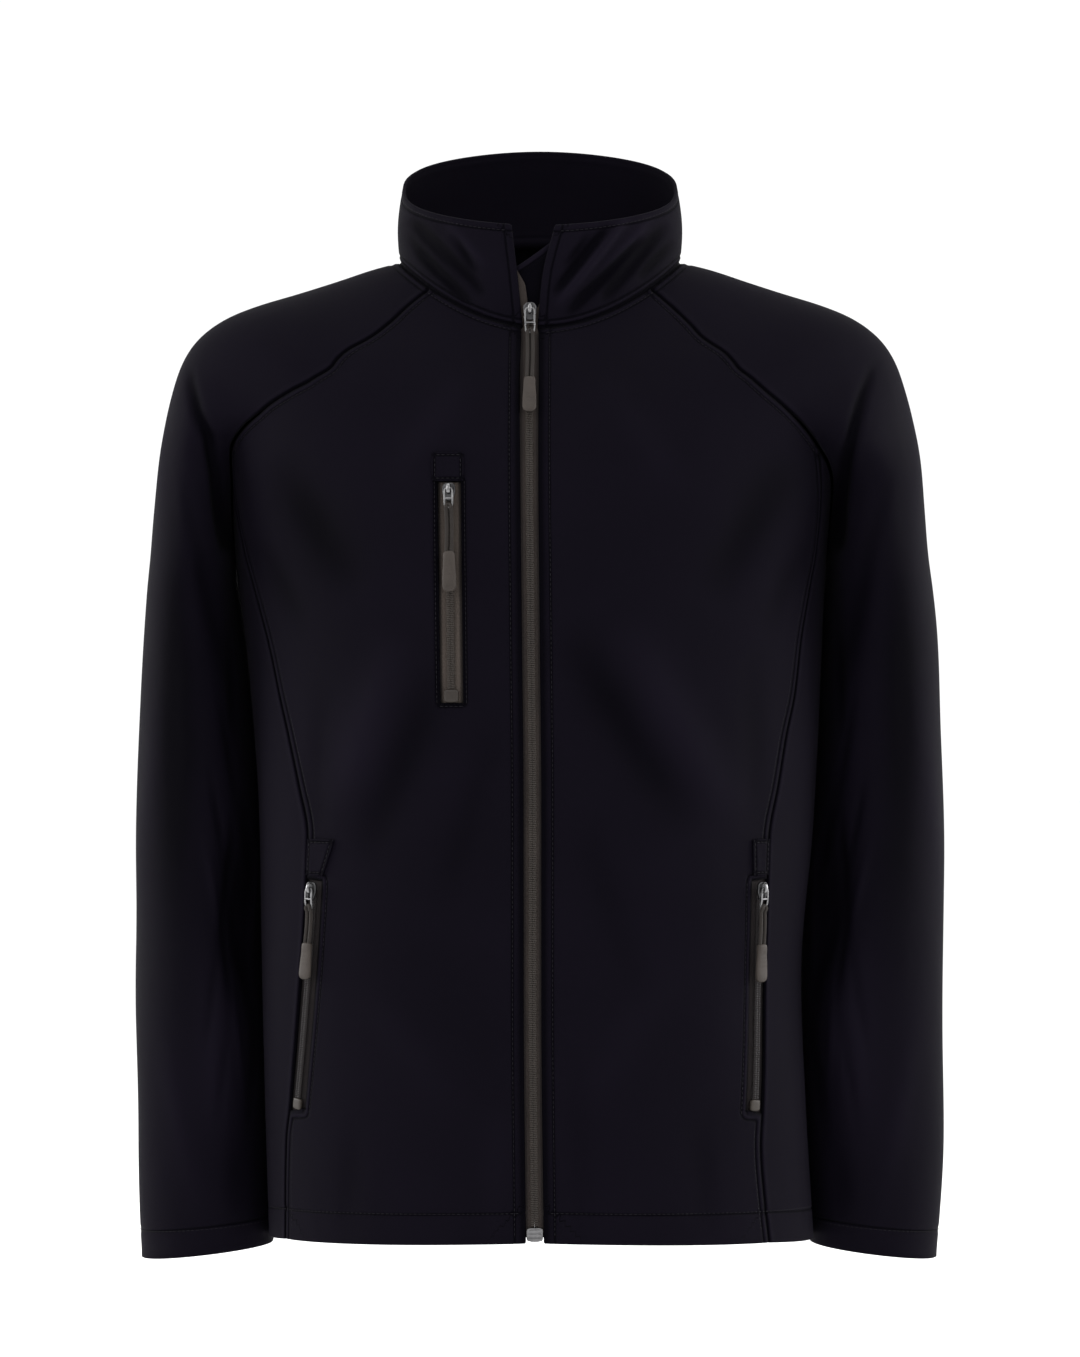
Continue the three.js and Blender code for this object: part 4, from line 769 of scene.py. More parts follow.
# a panel between four edges of (angle, height): each inner point is the sum of the two blends
# across and up less the blend of the corners, taken in the view's own two measures
def panelPlaces(start, end, top, seenFrom, cutBack=None):
    def measures(edge):
        if seenFrom == "side":
            return np.stack(edge, -1)
        return formPoint(*edge)[..., [0, 2]]

    startM, endM, topM = measures(start), measures(end), measures(top)
    rows, cells = len(startM), len(topM)
    t = rowShare[:, None, None]
    if seenFrom == "side":
        s = np.linspace(0, 1, cells)
    else:
        s = (topM[:, 0] - topM[0, 0]) / (topM[-1, 0] - topM[0, 0])
    s = s[None, :, None]
    bottom = startM[0] * (1 - s) + endM[0] * s
    corners = bottom * (1 - t) + (topM[0] * (1 - s) + topM[-1] * s) * t
    spot = bottom * (1 - t) + topM[None] * t + startM[:, None] * (1 - s) + endM[:, None] * s - corners
    if cutBack is not None:
        ease = np.clip((s - 0.8) / 0.2, 0, 1)[..., 0]**2
        spot[..., 0] -= cutBack[:, None] * ease
    if seenFrom == "side":
        angle, height = spot[..., 0], spot[..., 1]
    else:
        angle, height = locate(spot[..., 0], spot[..., 1], seenFrom == "back")
    angle[:, 0], height[:, 0] = start
    angle[:, -1], height[:, -1] = end
    angle[-1], height[-1] = top
    return angle, height


def zipEdgePlaces(side, neckStart):
    z = edges["zipBottom"] + (edges["zipTop"] - edges["zipBottom"]) * rowShare
    angle, height = locate(zipX(z) + sides[side] * cut["zipHalf"], z)
    angle[-1], height[-1] = neckStart, 0.0
    return angle, height


def princessPlaces(side, cutBack):
    back = np.where(inOpening & cutBack, cut["handWindow"], 0.0)
    angle, height = locate(sides[side] * (princess(side, panelRows) - back), panelRows)
    corner = seams[side, True](princessStation)
    angle[-1], height[-1] = corner
    return angle, height


def backEdgePlaces(side):
    z = edges["backBottom"] + (edges["backTop"] - edges["backBottom"]) * rowShare
    angle = sides[side] * np.radians(smoothColumn(z, backSeamLine["z"], backSeamLine["angle"]))
    height = heightAt(angle, z)
    corner = seams[side, False](princessStation)
    angle[-1], height[-1] = corner
    return angle, height


# the edges stop short of their seams by half the gap, round the body or down from the neck
def panelGrid(places, sign, steps=None):
    angle, height = places
    point = formPoint(angle, height)
    turn = cut["seamHalf"] / np.hypot(point[..., 0], point[..., 1])
    angle = angle.copy()
    height = height.copy()
    angle[:, 0] += sign * turn[:, 0]
    angle[:, -1] -= sign * turn[:, -1]
    height[-1] = np.where(height[-1] > -1, height[-1] - cut["seamHalf"], height[-1])
    grid = body(angle, height)
    if steps is not None:
        grid[-1] += steps
    return grid


# the line round the chest pocket's opening
def chestLoop(count=60, across=8):
    low, high, right, left = (chestPocket[name] for name in ("bottom", "top", "right", "left"))
    up, over = np.linspace(low, high, count), np.linspace(-right, left, across)
    z = np.concatenate([up, np.full(across, high), np.linspace(high, low, count), np.full(across, low)])
    wide = np.concatenate([np.full(count, -right), over, np.full(count, left), np.linspace(left, -right, across)])
    return onFront(chestX(z) + wide, z)


def fromMiddle(grid):
    return grid * [1, 1, 0] - [0, cut["middleY"], 0]


chestRound = chestLoop()
neckCount = 40
seamCount = 96
chestStitchAway = 2.4
foldShade = 4.0  # the fold depth at which the painted fold shade and painted fold highlight are full
for side, sign in sides.items():
    # front panel: along the neck, then along the raglan seam
    neckX = zipX(np.array([edges["neckLevel"]]))[0] + sign * cut["zipHalf"]
    neckStart = math.asin(neckX / ring(np.array([0.0]), side)[0])
    neckShare = edgeColumns(neckCount, 80.0)
    neckAngles = neckStart + (neckAngle(side, True) - neckStart) * neckShare
    closer = princessStation - np.array([0.05, 0.12, 0.25])
    stations = np.unique(np.concatenate([np.linspace(0, princessStation, seamCount), closer]))
    raglanAngles, raglanHeights = seams[side, True](stations[1:])
    top = (np.concatenate([neckAngles, raglanAngles]), np.concatenate([np.zeros(len(neckAngles)), raglanHeights]))
    steps = np.concatenate([np.zeros((len(neckAngles), 3)), seamStep(side, True, stations[1:], cut["seamHalf"])])
    start, end = zipEdgePlaces(side, neckStart), princessPlaces(side, True)
    places = panelPlaces(start, princessPlaces(side, False), top, "front", sign * cut["handWindow"] * inOpening)
    places[0][:, -1], places[1][:, -1] = end
    grid = panelGrid(places, sign, steps)
    princessLine3d = body(*princessPlaces(side, True))
    raglanLine, neckLine = body(raglanAngles, raglanHeights), body(neckAngles, np.zeros(len(neckAngles)))
    zipLine = body(*start)
    rowsHere = [(grid[0], roll["hemRow"]), (zipLine, roll["zipRow"]), (raglanLine, roll["seamRow"]),
                (neckLine, roll["seamRow"]), (princessLine3d, roll["seamRow"])]
    if side == "right":
        rowsHere.append((chestRound, chestStitchAway))
    # the fold depths also give painted shade in the troughs and painted light on the ridges
    clothPiece(f"front_{side}_cloth", grid, cut["cloth"], fromMiddle(grid), [princessLine3d, raglanLine, neckLine],
               rowsHere, [f"front_{side}"], (0.24, 0.69), zipEdge=zipLine, normals=normalOf(*places),
               paintedShading=bodyFold(places[0], grid[..., 0], grid[..., 2]) / foldShade,
               opening=chestRound if side == "right" else None)

    # side panel, from the princess seam under the arm to the back seam
    under = np.linspace(princessStation, lastStation, 40)
    frontAngles, frontHeights = seams[side, True](under)
    backAngles, backHeights = seams[side, False](under[:-1][::-1])
    top = (np.concatenate([frontAngles, backAngles]), np.concatenate([frontHeights, backHeights]))
    steps = np.concatenate([
        seamStep(side, True, under, cut["seamHalf"]), seamStep(side, False, under[:-1][::-1], cut["seamHalf"]),
    ])
    start, end = princessPlaces(side, False), backEdgePlaces(side)
    places = panelPlaces(start, end, top, "side")
    grid = panelGrid(places, sign, steps)
    frontEdge, backEdge, armLine = body(*start), body(*end), body(*top)
    clothPiece(f"side_{side}_cloth", grid, cut["cloth"], fromMiddle(grid), [frontEdge, backEdge, armLine],
               [(grid[0], roll["hemRow"])], [f"side_{side}"], (0.2, 0.57), normals=normalOf(*places))
    print("front and side panels", side)


# the back, from the left back seam over the neck to the right one
def turned(place):
    return place[0] + 2 * math.pi, place[1]


stations = np.linspace(0, princessStation, 82)
leftSeam = seams["left", False](stations[::-1])
rightSeam = turned(seams["right", False](stations))
neckAngles = leftSeam[0][-1] + (rightSeam[0][0] - leftSeam[0][-1]) * edgeColumns(neckCount * 2, 128.0)
top = (np.concatenate([leftSeam[0][:-1], neckAngles, rightSeam[0][1:]]),
       np.concatenate([leftSeam[1][:-1], np.zeros(len(neckAngles)), rightSeam[1][1:]]))
steps = np.concatenate([
    seamStep("left", False, stations[::-1][:-1], cut["seamHalf"]), np.zeros((len(neckAngles), 3)),
    seamStep("right", False, stations[1:], cut["seamHalf"]),
])
start, end = backEdgePlaces("left"), turned(backEdgePlaces("right"))
places = panelPlaces(start, end, top, "back")
grid = panelGrid(places, 1, steps)
leftLine, rightLine, neckLine = body(*leftSeam), body(*rightSeam), body(neckAngles, np.zeros(len(neckAngles)))
# the fold depths also give painted shade in the troughs and painted light on the ridges
clothPiece("back_cloth", grid, cut["cloth"], fromMiddle(grid),
           [body(*start), body(*end), leftLine, rightLine, neckLine],
           [(grid[0], roll["hemRow"])] + [(line, roll["seamRow"]) for line in (leftLine, rightLine, neckLine)],
           ["back"], (0.45, 0.74), normals=normalOf(*places),
           paintedShading=bodyFold(places[0], grid[..., 0], grid[..., 2]) / foldShade)
print("back panel")


sleeve = {"tubeEnd": -719.0, "relax": 8, "cuffRow": 19.5, "foldShade": 2.6, "flat": (0.52, 0.80)}


# one arc from a seam to the outer line: a cubic curve with a handle at each end
def sleeveArc(seam, outer, leave, arrive, handle, share):
    b = share[None, :, None]
    seam, outer, handle = seam[:, None], outer[:, None], np.asarray(handle)[:, None, None]
    near, far = seam + leave[:, None] * handle, outer + arrive[:, None] * handle
    return seam * (1 - b)**3 + near * 3 * b * (1 - b)**2 + far * 3 * b**2 * (1 - b) + outer * b**3


# the sleeve's depth before or behind its middle, where its inner seam lies further back
def halfDepth(tube, forward):
    return tube["half"] + forward * (tube["seam"] - tube["middle"]) / 2


# the nearest the sleeve's inner edge comes to the middle with its arcs clear of the body's side
def clearInner(side, z, tube):
    nearest = np.full(len(z), 0.0)
    for share in np.linspace(0, 0.45, 24):
        outward = 3 * share**2 * (1 - share) + share**3
        for forward in (1, -1):
            centre = tube["seam"] * (1 - outward) + tube["middle"] * outward
            y = centre - forward * 4 * halfDepth(tube, forward) * share * (1 - share) - cut["middleY"]
            depth = np.where(y < 0, cut["middleY"] - ring(z, "front"), ring(z, "back") - cut["middleY"])
            inBody = np.clip(1 - np.abs(y / depth)**ring(z, "square"), 0, None)**(1 / ring(z, "square"))
            need = (ring(z, side) * inBody + cut["sleeveClear"] - tube["outer"] * outward) / (1 - outward)
            nearest = np.maximum(nearest, need)
    return nearest


def sleeveGrid(side, shoulderSteps, tubeSteps, half):
    sign = sides[side]
    share = np.linspace(0, 1, half + 1)

    def both(front, back):
        return np.concatenate([front, back[:, ::-1][:, 1:]], 1)

    # the tube from the under-arm seam to the cuff
    z = np.linspace(sleeveTube["z"][0] - 6, sleeve["tubeEnd"], tubeSteps)
    tube = {name: smoothColumn(z, sleeveTube["z"], sleeveTube[name]) for name in sleeveTube if name != "z"}
    inner = np.maximum(tube["inner"], clearInner(side, z, tube))
    outer = np.stack([sign * tube["outer"], tube["middle"], z], -1)
    arcs = []
    for forward in (1, -1):
        seam = np.stack([sign * inner, tube["seam"] - forward * cut["seamHalf"], z + tube["raise"]], -1)
        way = np.tile([0.0, -forward, 0.0], (len(z), 1))
        arcs.append(sleeveArc(seam, outer, way, way, halfDepth(tube, forward) * 4 / 3, share))
    tubeRows = both(*arcs)

    # the shoulder, station by station from the neck
    s = np.linspace(0, lastStation, shoulderSteps)
    index = np.arange(len(shoulder["x"]))
    row = {name: smoothColumn(s, index, shoulder[name]) for name in shoulder}
    outer = np.stack([sign * row["x"], row["y"], row["z"]], -1)
    arcs = []
    for forward in (1, -1):
        front = forward > 0
        angle, height = seams[side, front](s)
        seam = body(angle, height) - seamStep(side, front, s, cut["seamHalf"])
        normal = normalOf(angle, height)
        towards = outer - seam
        onForm = unit(towards - normal * (towards * normal).sum(-1, keepdims=True))
        turn = np.radians(row["turn"])
        away = np.stack([sign * np.cos(turn), -forward * np.sin(turn), np.zeros(len(s))], -1)
        free = row["free"][:, None]
        leave = unit(onForm * (1 - free) + away * free)
        arrive = np.tile([0.0, -forward, 0.0], (len(s), 1))
        arcs.append(sleeveArc(seam, outer, leave, arrive, row["handle"], share))
    shoulderRows = both(*arcs)
    neckFront, neckBack = neckAngle(side, True), neckAngle(side, False)
    neckRow = body(np.linspace(neckFront, neckBack, half * 2 + 1), np.full(half * 2 + 1, -cut["seamHalf"]))
    fade = np.clip(1 - s / 1.2, 0, 1)[:, None, None]**2
    shoulderRows = shoulderRows * (1 - fade) + (shoulderRows - shoulderRows[:1] + neckRow[None]) * fade
    return np.concatenate([tubeRows[::-1], shoulderRows[::-1]])


# the cloth evens itself out: each inner point moves half way to the mean of its neighbours
def relaxed(grid, times):
    for _ in range(times):
        mean = (grid[:-2, 1:-1] + grid[2:, 1:-1] + grid[1:-1, :-2] + grid[1:-1, 2:]) / 4
        grid[1:-1, 1:-1] += 0.5 * (mean - grid[1:-1, 1:-1])
    return grid


for side, sign in sides.items():
    half = 54
    grid = sleeveGrid(side, 100, 130, half)
    grid = relaxed(grid, sleeve["relax"])
    around = np.linspace(0, 1, grid.shape[1])[None, :]
    z = grid[..., 2]
    depth = np.zeros(z.shape)
    for level, place, tall, wide, lean, deep in sleeveFolds:
        off = around - place - lean * (z - level) / tall
        depth += deep * np.exp(-((z - level) / tall)**2 - (off / wide)**2)
    line = np.array([(x, 0.0, level) for x, level in armCreases[side]])
    ends = np.clip((-66 - z) / 60, 0, 1) * np.clip((z + 225) / 30, 0, 1)
    inFront = np.clip((0.44 - around) / 0.16, 0, 1)**2
    hanging = armCrease["deep"] * np.exp(-(lineDistance(grid * [1, 0, 1], line) / armCrease["wide"])**2)
    depth += hanging * ends * inFront
    fromNeck = np.clip((np.arange(len(grid))[::-1] / 12.0), 0, 1)[:, None]
    edge = np.clip(np.minimum(around, 1 - around) / 0.03, 0, 1) * fromNeck
    centre = np.stack([np.full(z.shape, 243.0 * sign), np.full(z.shape, 10.0), z - np.where(z > -120, 60, 0)], -1)
    outward = grid - centre
    raised = (depth + unevenness(grid[..., 1] + 40 * sign, z)) * edge
    grid = grid + facing(gridNormals(grid), outward) * raised[..., None]
    # the fold depths also give painted shade in the troughs and painted light on the ridges
    clothPiece(f"sleeve_{side}_cloth", grid, cut["cloth"], outward, [grid[:, 0], grid[:, -1], grid[-1]],
               [(grid[0], sleeve["cuffRow"]), (grid[-1], roll["seamRow"])], [f"sleeve_{side}"], sleeve["flat"],
               paintedShading=depth / sleeve["foldShade"])
    cuffAt = np.argmin(np.abs(grid[:, half, 2] - (sleeve["tubeEnd"] + sleeve["cuffRow"])))
    normals = facing(gridNormals(grid), outward)
    stitchAlong(grid[cuffAt] - normals[cuffAt] * 0.2, normals[cuffAt])
    print("sleeve", side)


# the collar: the body's neck line carried to a tilted oval rim, bowed out between them
def collarPlain(angle, up):
    base = formPoint(angle, np.zeros(np.shape(angle)))
    sine, cosine = np.sin(angle), np.cos(angle)
    radius = ovalRadius(angle, collarRim["square"])
    depth = np.where(cosine > 0, collarRim["middle"] - collarRim["front"], collarRim["back"] - collarRim["middle"])
    rim = np.stack([
        collarRim["half"] * radius * sine, collarRim["middle"] - depth * radius * cosine,
        collarRim["height"] - collarRim["tilt"] * cosine,
    ], -1)
    up = np.asarray(up)[..., None]
    return base * (1 - up) + rim * up


def collarNormal(angle, up):
    across = collarPlain(angle + 0.002, up) - collarPlain(angle - 0.002, up)
    rise = collarPlain(angle, np.ones(np.shape(angle))) - collarPlain(angle, np.zeros(np.shape(angle)))
    return unit(np.cross(across, rise))


def collarFold(angle, point):
    return np.where(np.cos(angle) > 0, foldDepth(collarFolds, point[..., 0], point[..., 2]), 0.0)


def collar(angle, up, out=0.0):
    angle, up = np.broadcast_arrays(np.asarray(angle, float), np.asarray(up, float))
    point = collarPlain(angle, up)
    fold = collarFold(angle, point) * np.clip(np.minimum(up, 1 - up) / 0.12, 0, 1)
    raised = out + collarRim["bow"] * np.sin(math.pi * up) + fold
    return point + collarNormal(angle, up) * raised[..., None]


ups = np.unique(np.concatenate([np.linspace(0, 1, 34), [0.02, 0.05, 0.95, 0.98]]))
share = edgeColumns(230, 560.0)
fromAngle = np.radians(smoothColumn(ups, collarEnds["up"], collarEnds["left"]))[:, None]
toAngle = np.radians(360 + smoothColumn(ups, collarEnds["up"], collarEnds["right"]))[:, None]
angles = fromAngle + (toAngle - fromAngle) * share[None, :]
allowance = {"low": -2.6, "high": -0.6, "behind": -2.1}
turnedIn = [body(angles[0], np.full(angles.shape[1], allowance[level]), allowance["behind"])
            for level in ("low", "high")]
grid = np.concatenate([turnedIn, collar(angles, ups[:, None])])
neckSeam = grid[2]
# painted shade and light from the collar's folds; the turned-in allowance is painted dark as shade
shade = collarFold(angles, collarPlain(angles, ups[:, None])) / 1.5
clothPiece("collar_cloth", grid, cut["collarCloth"], grid * [1, 1, 0], [neckSeam],
           [(grid[-1], 4.6), (neckSeam, 4.6), (grid[2:, 0], 5.0), (grid[2:, -1], 5.0)], ["collar"], (0.56, 0.115),
           paintedShading=np.concatenate([np.full((2, angles.shape[1]), -1.0), shade]))
normals = facing(gridNormals(grid), grid * [1, 1, 0])
rimRow = 2 + int(np.argmin(np.abs(ups - 0.94)))
stitchAlong(grid[rimRow, 3:-3] - normals[rimRow, 3:-3] * 0.2, normals[rimRow, 3:-3])

guard = {"right": -11.5, "left": 9.0, "low": 0.06, "highRight": 0.55, "highLeft": 0.92, "behind": 5.0}
across = np.linspace(0, 1, 24)[None, :]
rise = np.linspace(0, 1, 28)[:, None]
high = guard["highRight"] + (guard["highLeft"] - guard["highRight"]) * across
angles = np.radians(guard["right"] + (guard["left"] - guard["right"]) * across) + 0 * rise
behind = guard["behind"] + 0.6 * np.sin(across * 5 + rise * 3)
grid = collar(angles, guard["low"] + (high - guard["low"]) * rise, -behind)
# painted shade over the guard, which sits back in the collar's opening, and painted light along its folded top edge
shade = np.where(rise > 0.9, 0.6, -1.0) + 0 * across
clothPiece("chin_guard_cloth", grid, cut["cloth"], grid * [1, 1, 0], [], [(grid[-1], 4.0)], ["chin_guard"],
           (0.045, 0.07), paintedShading=shade)
print("collar and chin guard")


def bodyRow(angle, height, out=-0.25):
    stitchAlong(body(angle, height, out), normalOf(angle, height))


def frontRow(x, z, out=-0.25):
    bodyRow(*locate(x, z), out)


# a row below the neck line, between two angles
def neckStitches(start, end, count):
    angle = np.linspace(start, end, count)
    slope = np.linalg.norm(body(angle, np.full(count, -1.0)) - body(angle, np.full(count, 0.0)), axis=-1)
    bodyRow(angle, -roll["seamRow"] / slope)


count = 240
for side, sign in sides.items():
    z = np.linspace(-690, -58, count)
    frontRow(zipX(z) + sign * (cut["zipHalf"] + roll["zipRow"]), z)
    # beside the princess seam, above and below the pocket
    for low, high in ((-690, handPocket["bottom"] - 12), (handPocket["top"] + 2, -150)):
        z = np.linspace(low, high, count)
        frontRow(sign * (princess(side, z) - roll["seamRow"]), z)
    # round the pocket's opening
    z = np.linspace(handPocket["bottom"] - 3, handPocket["top"] + 1, count)
    frontRow(sign * (princess(side, z) - cut["handWindow"] - 4.0), z)
    # below the raglan seam and the neck
    s = np.linspace(0.4, princessStation, count)
    for front in (True, False):
        angle, height = seams[side, front](s)
        spot = body(angle, height) + seamStep(side, front, s, roll["seamRow"])
        a, h = locate(spot[:, 0], spot[:, 2], not front)
        if not front and sign < 0:
            a = a - 2 * math.pi
        bodyRow(a, h)
    start = math.asin((zipX(np.array([-50.0]))[0] + sign * 9) / ring(np.array([0.0]), side)[0])
    neckStitches(start, neckAngle(side, True, 0.1), 80)
neckStitches(neckAngle("left", False, 0.1), neckAngle("right", False, 0.1) + 2 * math.pi, 120)

# the hem's row, all round from zip edge to zip edge
for side, sign in sides.items():
    lineX = zipX(np.array([-680.0]))[0] + sign * 9
    start = locate(np.array([lineX]), np.array([-680.0]))[0][0]
    angle = np.linspace(start, sign * math.pi, 400)
    share = np.abs(angle) / math.pi
    level = smoothColumn(share, [0, 0.35, 0.7, 1], [-693, -697, -704, -704]) + roll["hemRow"]
    bodyRow(angle, heightAt(angle, level))
print("stitches laid")


tapeOut = -cut["cloth"] - cut["seat"]
zipColumns = ("line", "sliderZ", "tab", "tabHalf", "cord", "tip", "stopZ", "stopTall", "stopWide")
zipRows = {
    "zip": (zipX, -41.0, 19.6, 3.9, 30.0, 25.0, -687.0, 10.0, 11.5),
    "chest": (chestX, -170.5, 13.5, 3.4, 29.0, 28.0, -312.0, 9.0, 10.0),
    "right": (handX("right"), -449.0, 14.5, 3.4, 23.0, 26.0, -600.0, 8.0, 8.0),
    "left": (handX("left"), -449.0, 14.5, 3.4, 24.0, 27.0, -600.0, 8.0, 8.0),
}
zips = {name: dict(zip(zipColumns, row)) for name, row in zipRows.items()}


# in front of the zips: on the fronts or, above the neck seam, on the collar
def nearZip(x, z, out):
    x, z, out = np.broadcast_arrays(np.asarray(x, float), np.asarray(z, float), np.asarray(out, float))
    angle = np.arcsin(np.clip(x / bodyRings["right"][0], -1, 1))
    neckZ = formPoint(angle, np.zeros(x.shape))[..., 2]
    rimZ = collarPlain(angle, np.ones(x.shape))[..., 2]
    up = (z - neckZ) / (rimZ - neckZ)
    onCollar = z > neckZ
    low = onFront(x, np.minimum(z, neckZ), out)
    high = collar(angle, np.clip(up, 0, 1), out)
    return np.where(onCollar[..., None], high, low)


# a flat strip: its two faces as grids, closed round its border
def stripPiece(name, near, far, look, nodes, flat, shade):
    rows, cells = near.shape[:2]
    faces, border, inward = shellFaces(rows, cells)
    a, b = near.reshape(-1, 3), far.reshape(-1, 3)
    middle = (a[border] + b[border]) / 2 + unit(a[border] - a[inward]) * 0.12
    uv = gridUV(near).reshape(-1, 2)
    uv = np.concatenate([uv, uv, uv[border]])
    # shade: painted shade for each point of the near face
    shade = shade.reshape(-1)
    fields = {"shade": np.concatenate([shade, shade, shade[border]])}
    piece = addPiece(name, np.concatenate([a, b, middle]), faces, look, nodes, uv=uv, fields=fields)
    min(gridArea(near), flat[0] * flat[1])


collarTape = {
    "out": -3.5, "under": 3.4, "up": [0, 0.12, 0.3, 0.42, 0.6, 1],
    "right": [3.2, 3.2, 3.2, 3.0, -0.8, -0.8], "left": [2.6, 2.2, -0.8, -0.8, -0.8, -0.8],
}
for side, sign in sides.items():
    cover = cut["zipHalf"] + cut["underlap"]
    z = np.linspace(-689, -56, 200)
    away = np.linspace(cover, cut["touch"] / 2, 9)[None, :]
    ups = np.linspace(0, 0.97, 30)
    beyond = np.interp(ups, collarTape["up"], collarTape[side])[:, None]
    turnAway = collarTape["under"] - (collarTape["under"] + beyond) * np.linspace(0, 1, 9)[None, :]
    edgeAngle = smoothColumn(ups, collarEnds["up"], collarEnds[side])[:, None]

    def tapeFace(bodyOut, collarOut):
        low = onFront(zipX(z)[:, None] + sign * away, z[:, None] + 0 * away, bodyOut)
        high = collar(np.radians(edgeAngle + sign * turnAway), ups[:, None] + 0 * turnAway, collarOut)
        return np.concatenate([low, high])

    # painted shade darkens the tape's outer edges, under the cloth's rolled edges, and none on the collar
    stripPiece(f"zip_tape_{side}_woven", tapeFace(tapeOut, collarTape["out"]),
               tapeFace(tapeOut - cut["tapeThick"], collarTape["out"] - cut["tapeThick"]), "tape",
               [f"zip_tape_{side}"], (0.014, 0.72),
               shade=np.concatenate([np.clip((away - 4.2) / 1.6, 0, 1) + 0 * z[:, None], np.zeros((30, 9))]))

handZip = {**handPocket, "half": 5.5, "coilTop": -447.5, "deeper": 0.4, "tape": "handTape", "coil": "handCoil"}
pockets = {
    "chest": {**chestPocket, "half": 8.0, "coilTop": -165.0, "deeper": 0.0, "tape": "chestTape", "coil": "coil"},
    "right": handZip, "left": handZip,
}
for name, pocket in pockets.items():
    line = zips[name]["line"]
    reach = pocket["half"] + cut["underlap"] - 1
    z = np.linspace(pocket["bottom"] - cut["underlap"], pocket["top"] + cut["underlap"], 60)[:, None]
    across = np.linspace(-reach, reach, 25)[None, :]
    out = tapeOut - pocket["deeper"]
    near, far = (onFront(line(z) + across, z + 0 * across, out - behind) for behind in (0.0, cut["tapeThick"]))
    long = pocket["top"] - pocket["bottom"] + 2 * cut["underlap"]
    # painted shade darkens the tape next to the window's edges
    shade = np.clip((np.abs(across) - pocket["half"] + 2.0) / 1.8, 0, 1) + 0 * z
    stripPiece(f"{name}_tape_woven", near, far, pocket["tape"], [f"{name}_tape"],
               (2 * reach * mm, (long + 1) * mm), shade)
print("tapes ready")


# a coil: for each turn one strand that crosses the zip, bent down to the tape at both ends
coilShape = {"wide": 5.0, "pitch": 1.27, "thread": 0.42, "top": 0.35}


def coilPiece(name, line, bottom, top, look, nodes):
    count = int((top - bottom) / coilShape["pitch"])
    z = bottom + (np.arange(count) + 0.5) * coilShape["pitch"]
    # across the zip, out from the cloth and up along the zip, at each ring of a strand
    shape = np.array([
        (-0.5, -1.5, 0.0), (-0.5, -0.5, 0.0), (-0.36, 0.02, 0.02), (-0.08, 0.1, 0.08),
        (0.0, -0.22, 0.12), (0.08, 0.1, 0.16), (0.36, 0.02, 0.22), (0.5, -0.5, 0.25), (0.5, -1.5, 0.25),
    ])
    middle = nearZip(line(z), z, np.full(count, coilShape["top"]))
    outDir = unit(nearZip(line(z), z, np.full(count, 2.0)) - nearZip(line(z), z, np.full(count, 0.0)))
    upDir = unit(np.gradient(middle, axis=0))
    side = unit(np.cross(upDir, outDir))
    pathPoints = (middle[:, None] + side[:, None] * shape[None, :, 0:1] * coilShape["wide"]
                  + outDir[:, None] * shape[None, :, 1:2] + upDir[:, None] * shape[None, :, 2:3])
    run = unit(np.gradient(pathPoints, axis=1))
    flatWay = unit(np.cross(run, upDir[:, None]))
    cosines, sines = np.cos(fourCorners)[None, None, :, None], np.sin(fourCorners)[None, None, :, None]
    rings = (pathPoints[:, :, None] + coilShape["thread"] * cosines * flatWay[:, :, None]
             + 1.3 * coilShape["thread"] * sines * upDir[:, None, None])
    addPiece(name, rings.reshape(-1, 3), tubeFaces(count, len(shape)), look, nodes)


coilPiece("zip_coil_turns", zipX, -681.0, -46.0, "coil", ["zip_coil"])
for name, pocket in pockets.items():
    zipPart = zips[name]
    coilBottom = zipPart["stopZ"] + zipPart["stopTall"] / 2 + cut["touch"]
    coilPiece(f"{name}_coil_turns", zipPart["line"], coilBottom, pocket["coilTop"], pocket["coil"], [f"{name}_coil"])
print("coils ready")


# rings of rounded section, superellipses about their centres, with a half width and depth for each
def ovalLoft(centres, side, out, halfWide, halfThick, power, around=28):
    turn = np.linspace(0, 2 * math.pi, around, endpoint=False)
    c, s = np.cos(turn), np.sin(turn)
    u = np.sign(c) * np.abs(c)**(2 / power)
    v = np.sign(s) * np.abs(s)**(2 / power)
    return (centres[:, None] + side[:, None] * u[None, :, None] * halfWide[:, None, None]
            + out[:, None] * v[None, :, None] * halfThick[:, None, None])


# faces of a tube of equal rings, its two ends closed by a strip of four-sided faces each
def ringFaces(count, around):
    index = np.arange(count * around).reshape(count, around)
    after = np.roll(index, -1, axis=1)
    quads = [np.stack([index[:-1], after[:-1], after[1:], index[1:]], -1).reshape(-1, 4)]
    half = around // 2
    for row, turnOver in ((index[0], True), (index[-1], False)):
        lower = row[::-1]
        end = np.stack([row[:half - 1], row[1:half], lower[1:half], lower[:half - 1]], -1)
        quads.append(end[:, ::-1] if turnOver else end)
    return np.concatenate(quads)


def joined(parts):
    points, faces, start = [], [], 0
    for p, f in parts:
        points.append(p.reshape(-1, 3))
        faces.append(f + start)
        start += p.reshape(-1, 3).shape[0]
    return np.concatenate(points), np.concatenate(faces)


# a rounded section carried along a path; a closed path meets itself, an open one gets flat ends
def sectionAlong(path, side, halfWide, halfThick, power=2.6, around=12, closed=False):
    if closed:
        run = unit(np.roll(path, -1, 0) - np.roll(path, 1, 0))
    else:
        run = unit(np.gradient(path, axis=0))
    across = unit(side - run * (side * run).sum(-1, keepdims=True))
    out = unit(np.cross(run, across))
    count = len(path)
    rings = ovalLoft(path, across, out, np.full(count, halfWide), np.full(count, halfThick), power, around)
    if not closed:
        return rings, ringFaces(count, around)
    index = np.arange(count * around).reshape(count, around)
    after = np.roll(index, -1, axis=1)
    return rings, np.stack([index, after, np.roll(after, -1, 0), np.roll(index, -1, 0)], -1).reshape(-1, 4)


pull = {
    "hingeOut": 5.0, "hingeUp": 2.0, "rest": 3.3, "cordHalf": 1.35, "spread": 1.75, "tipWide": 4.9, "tipThick": 2.2,
}


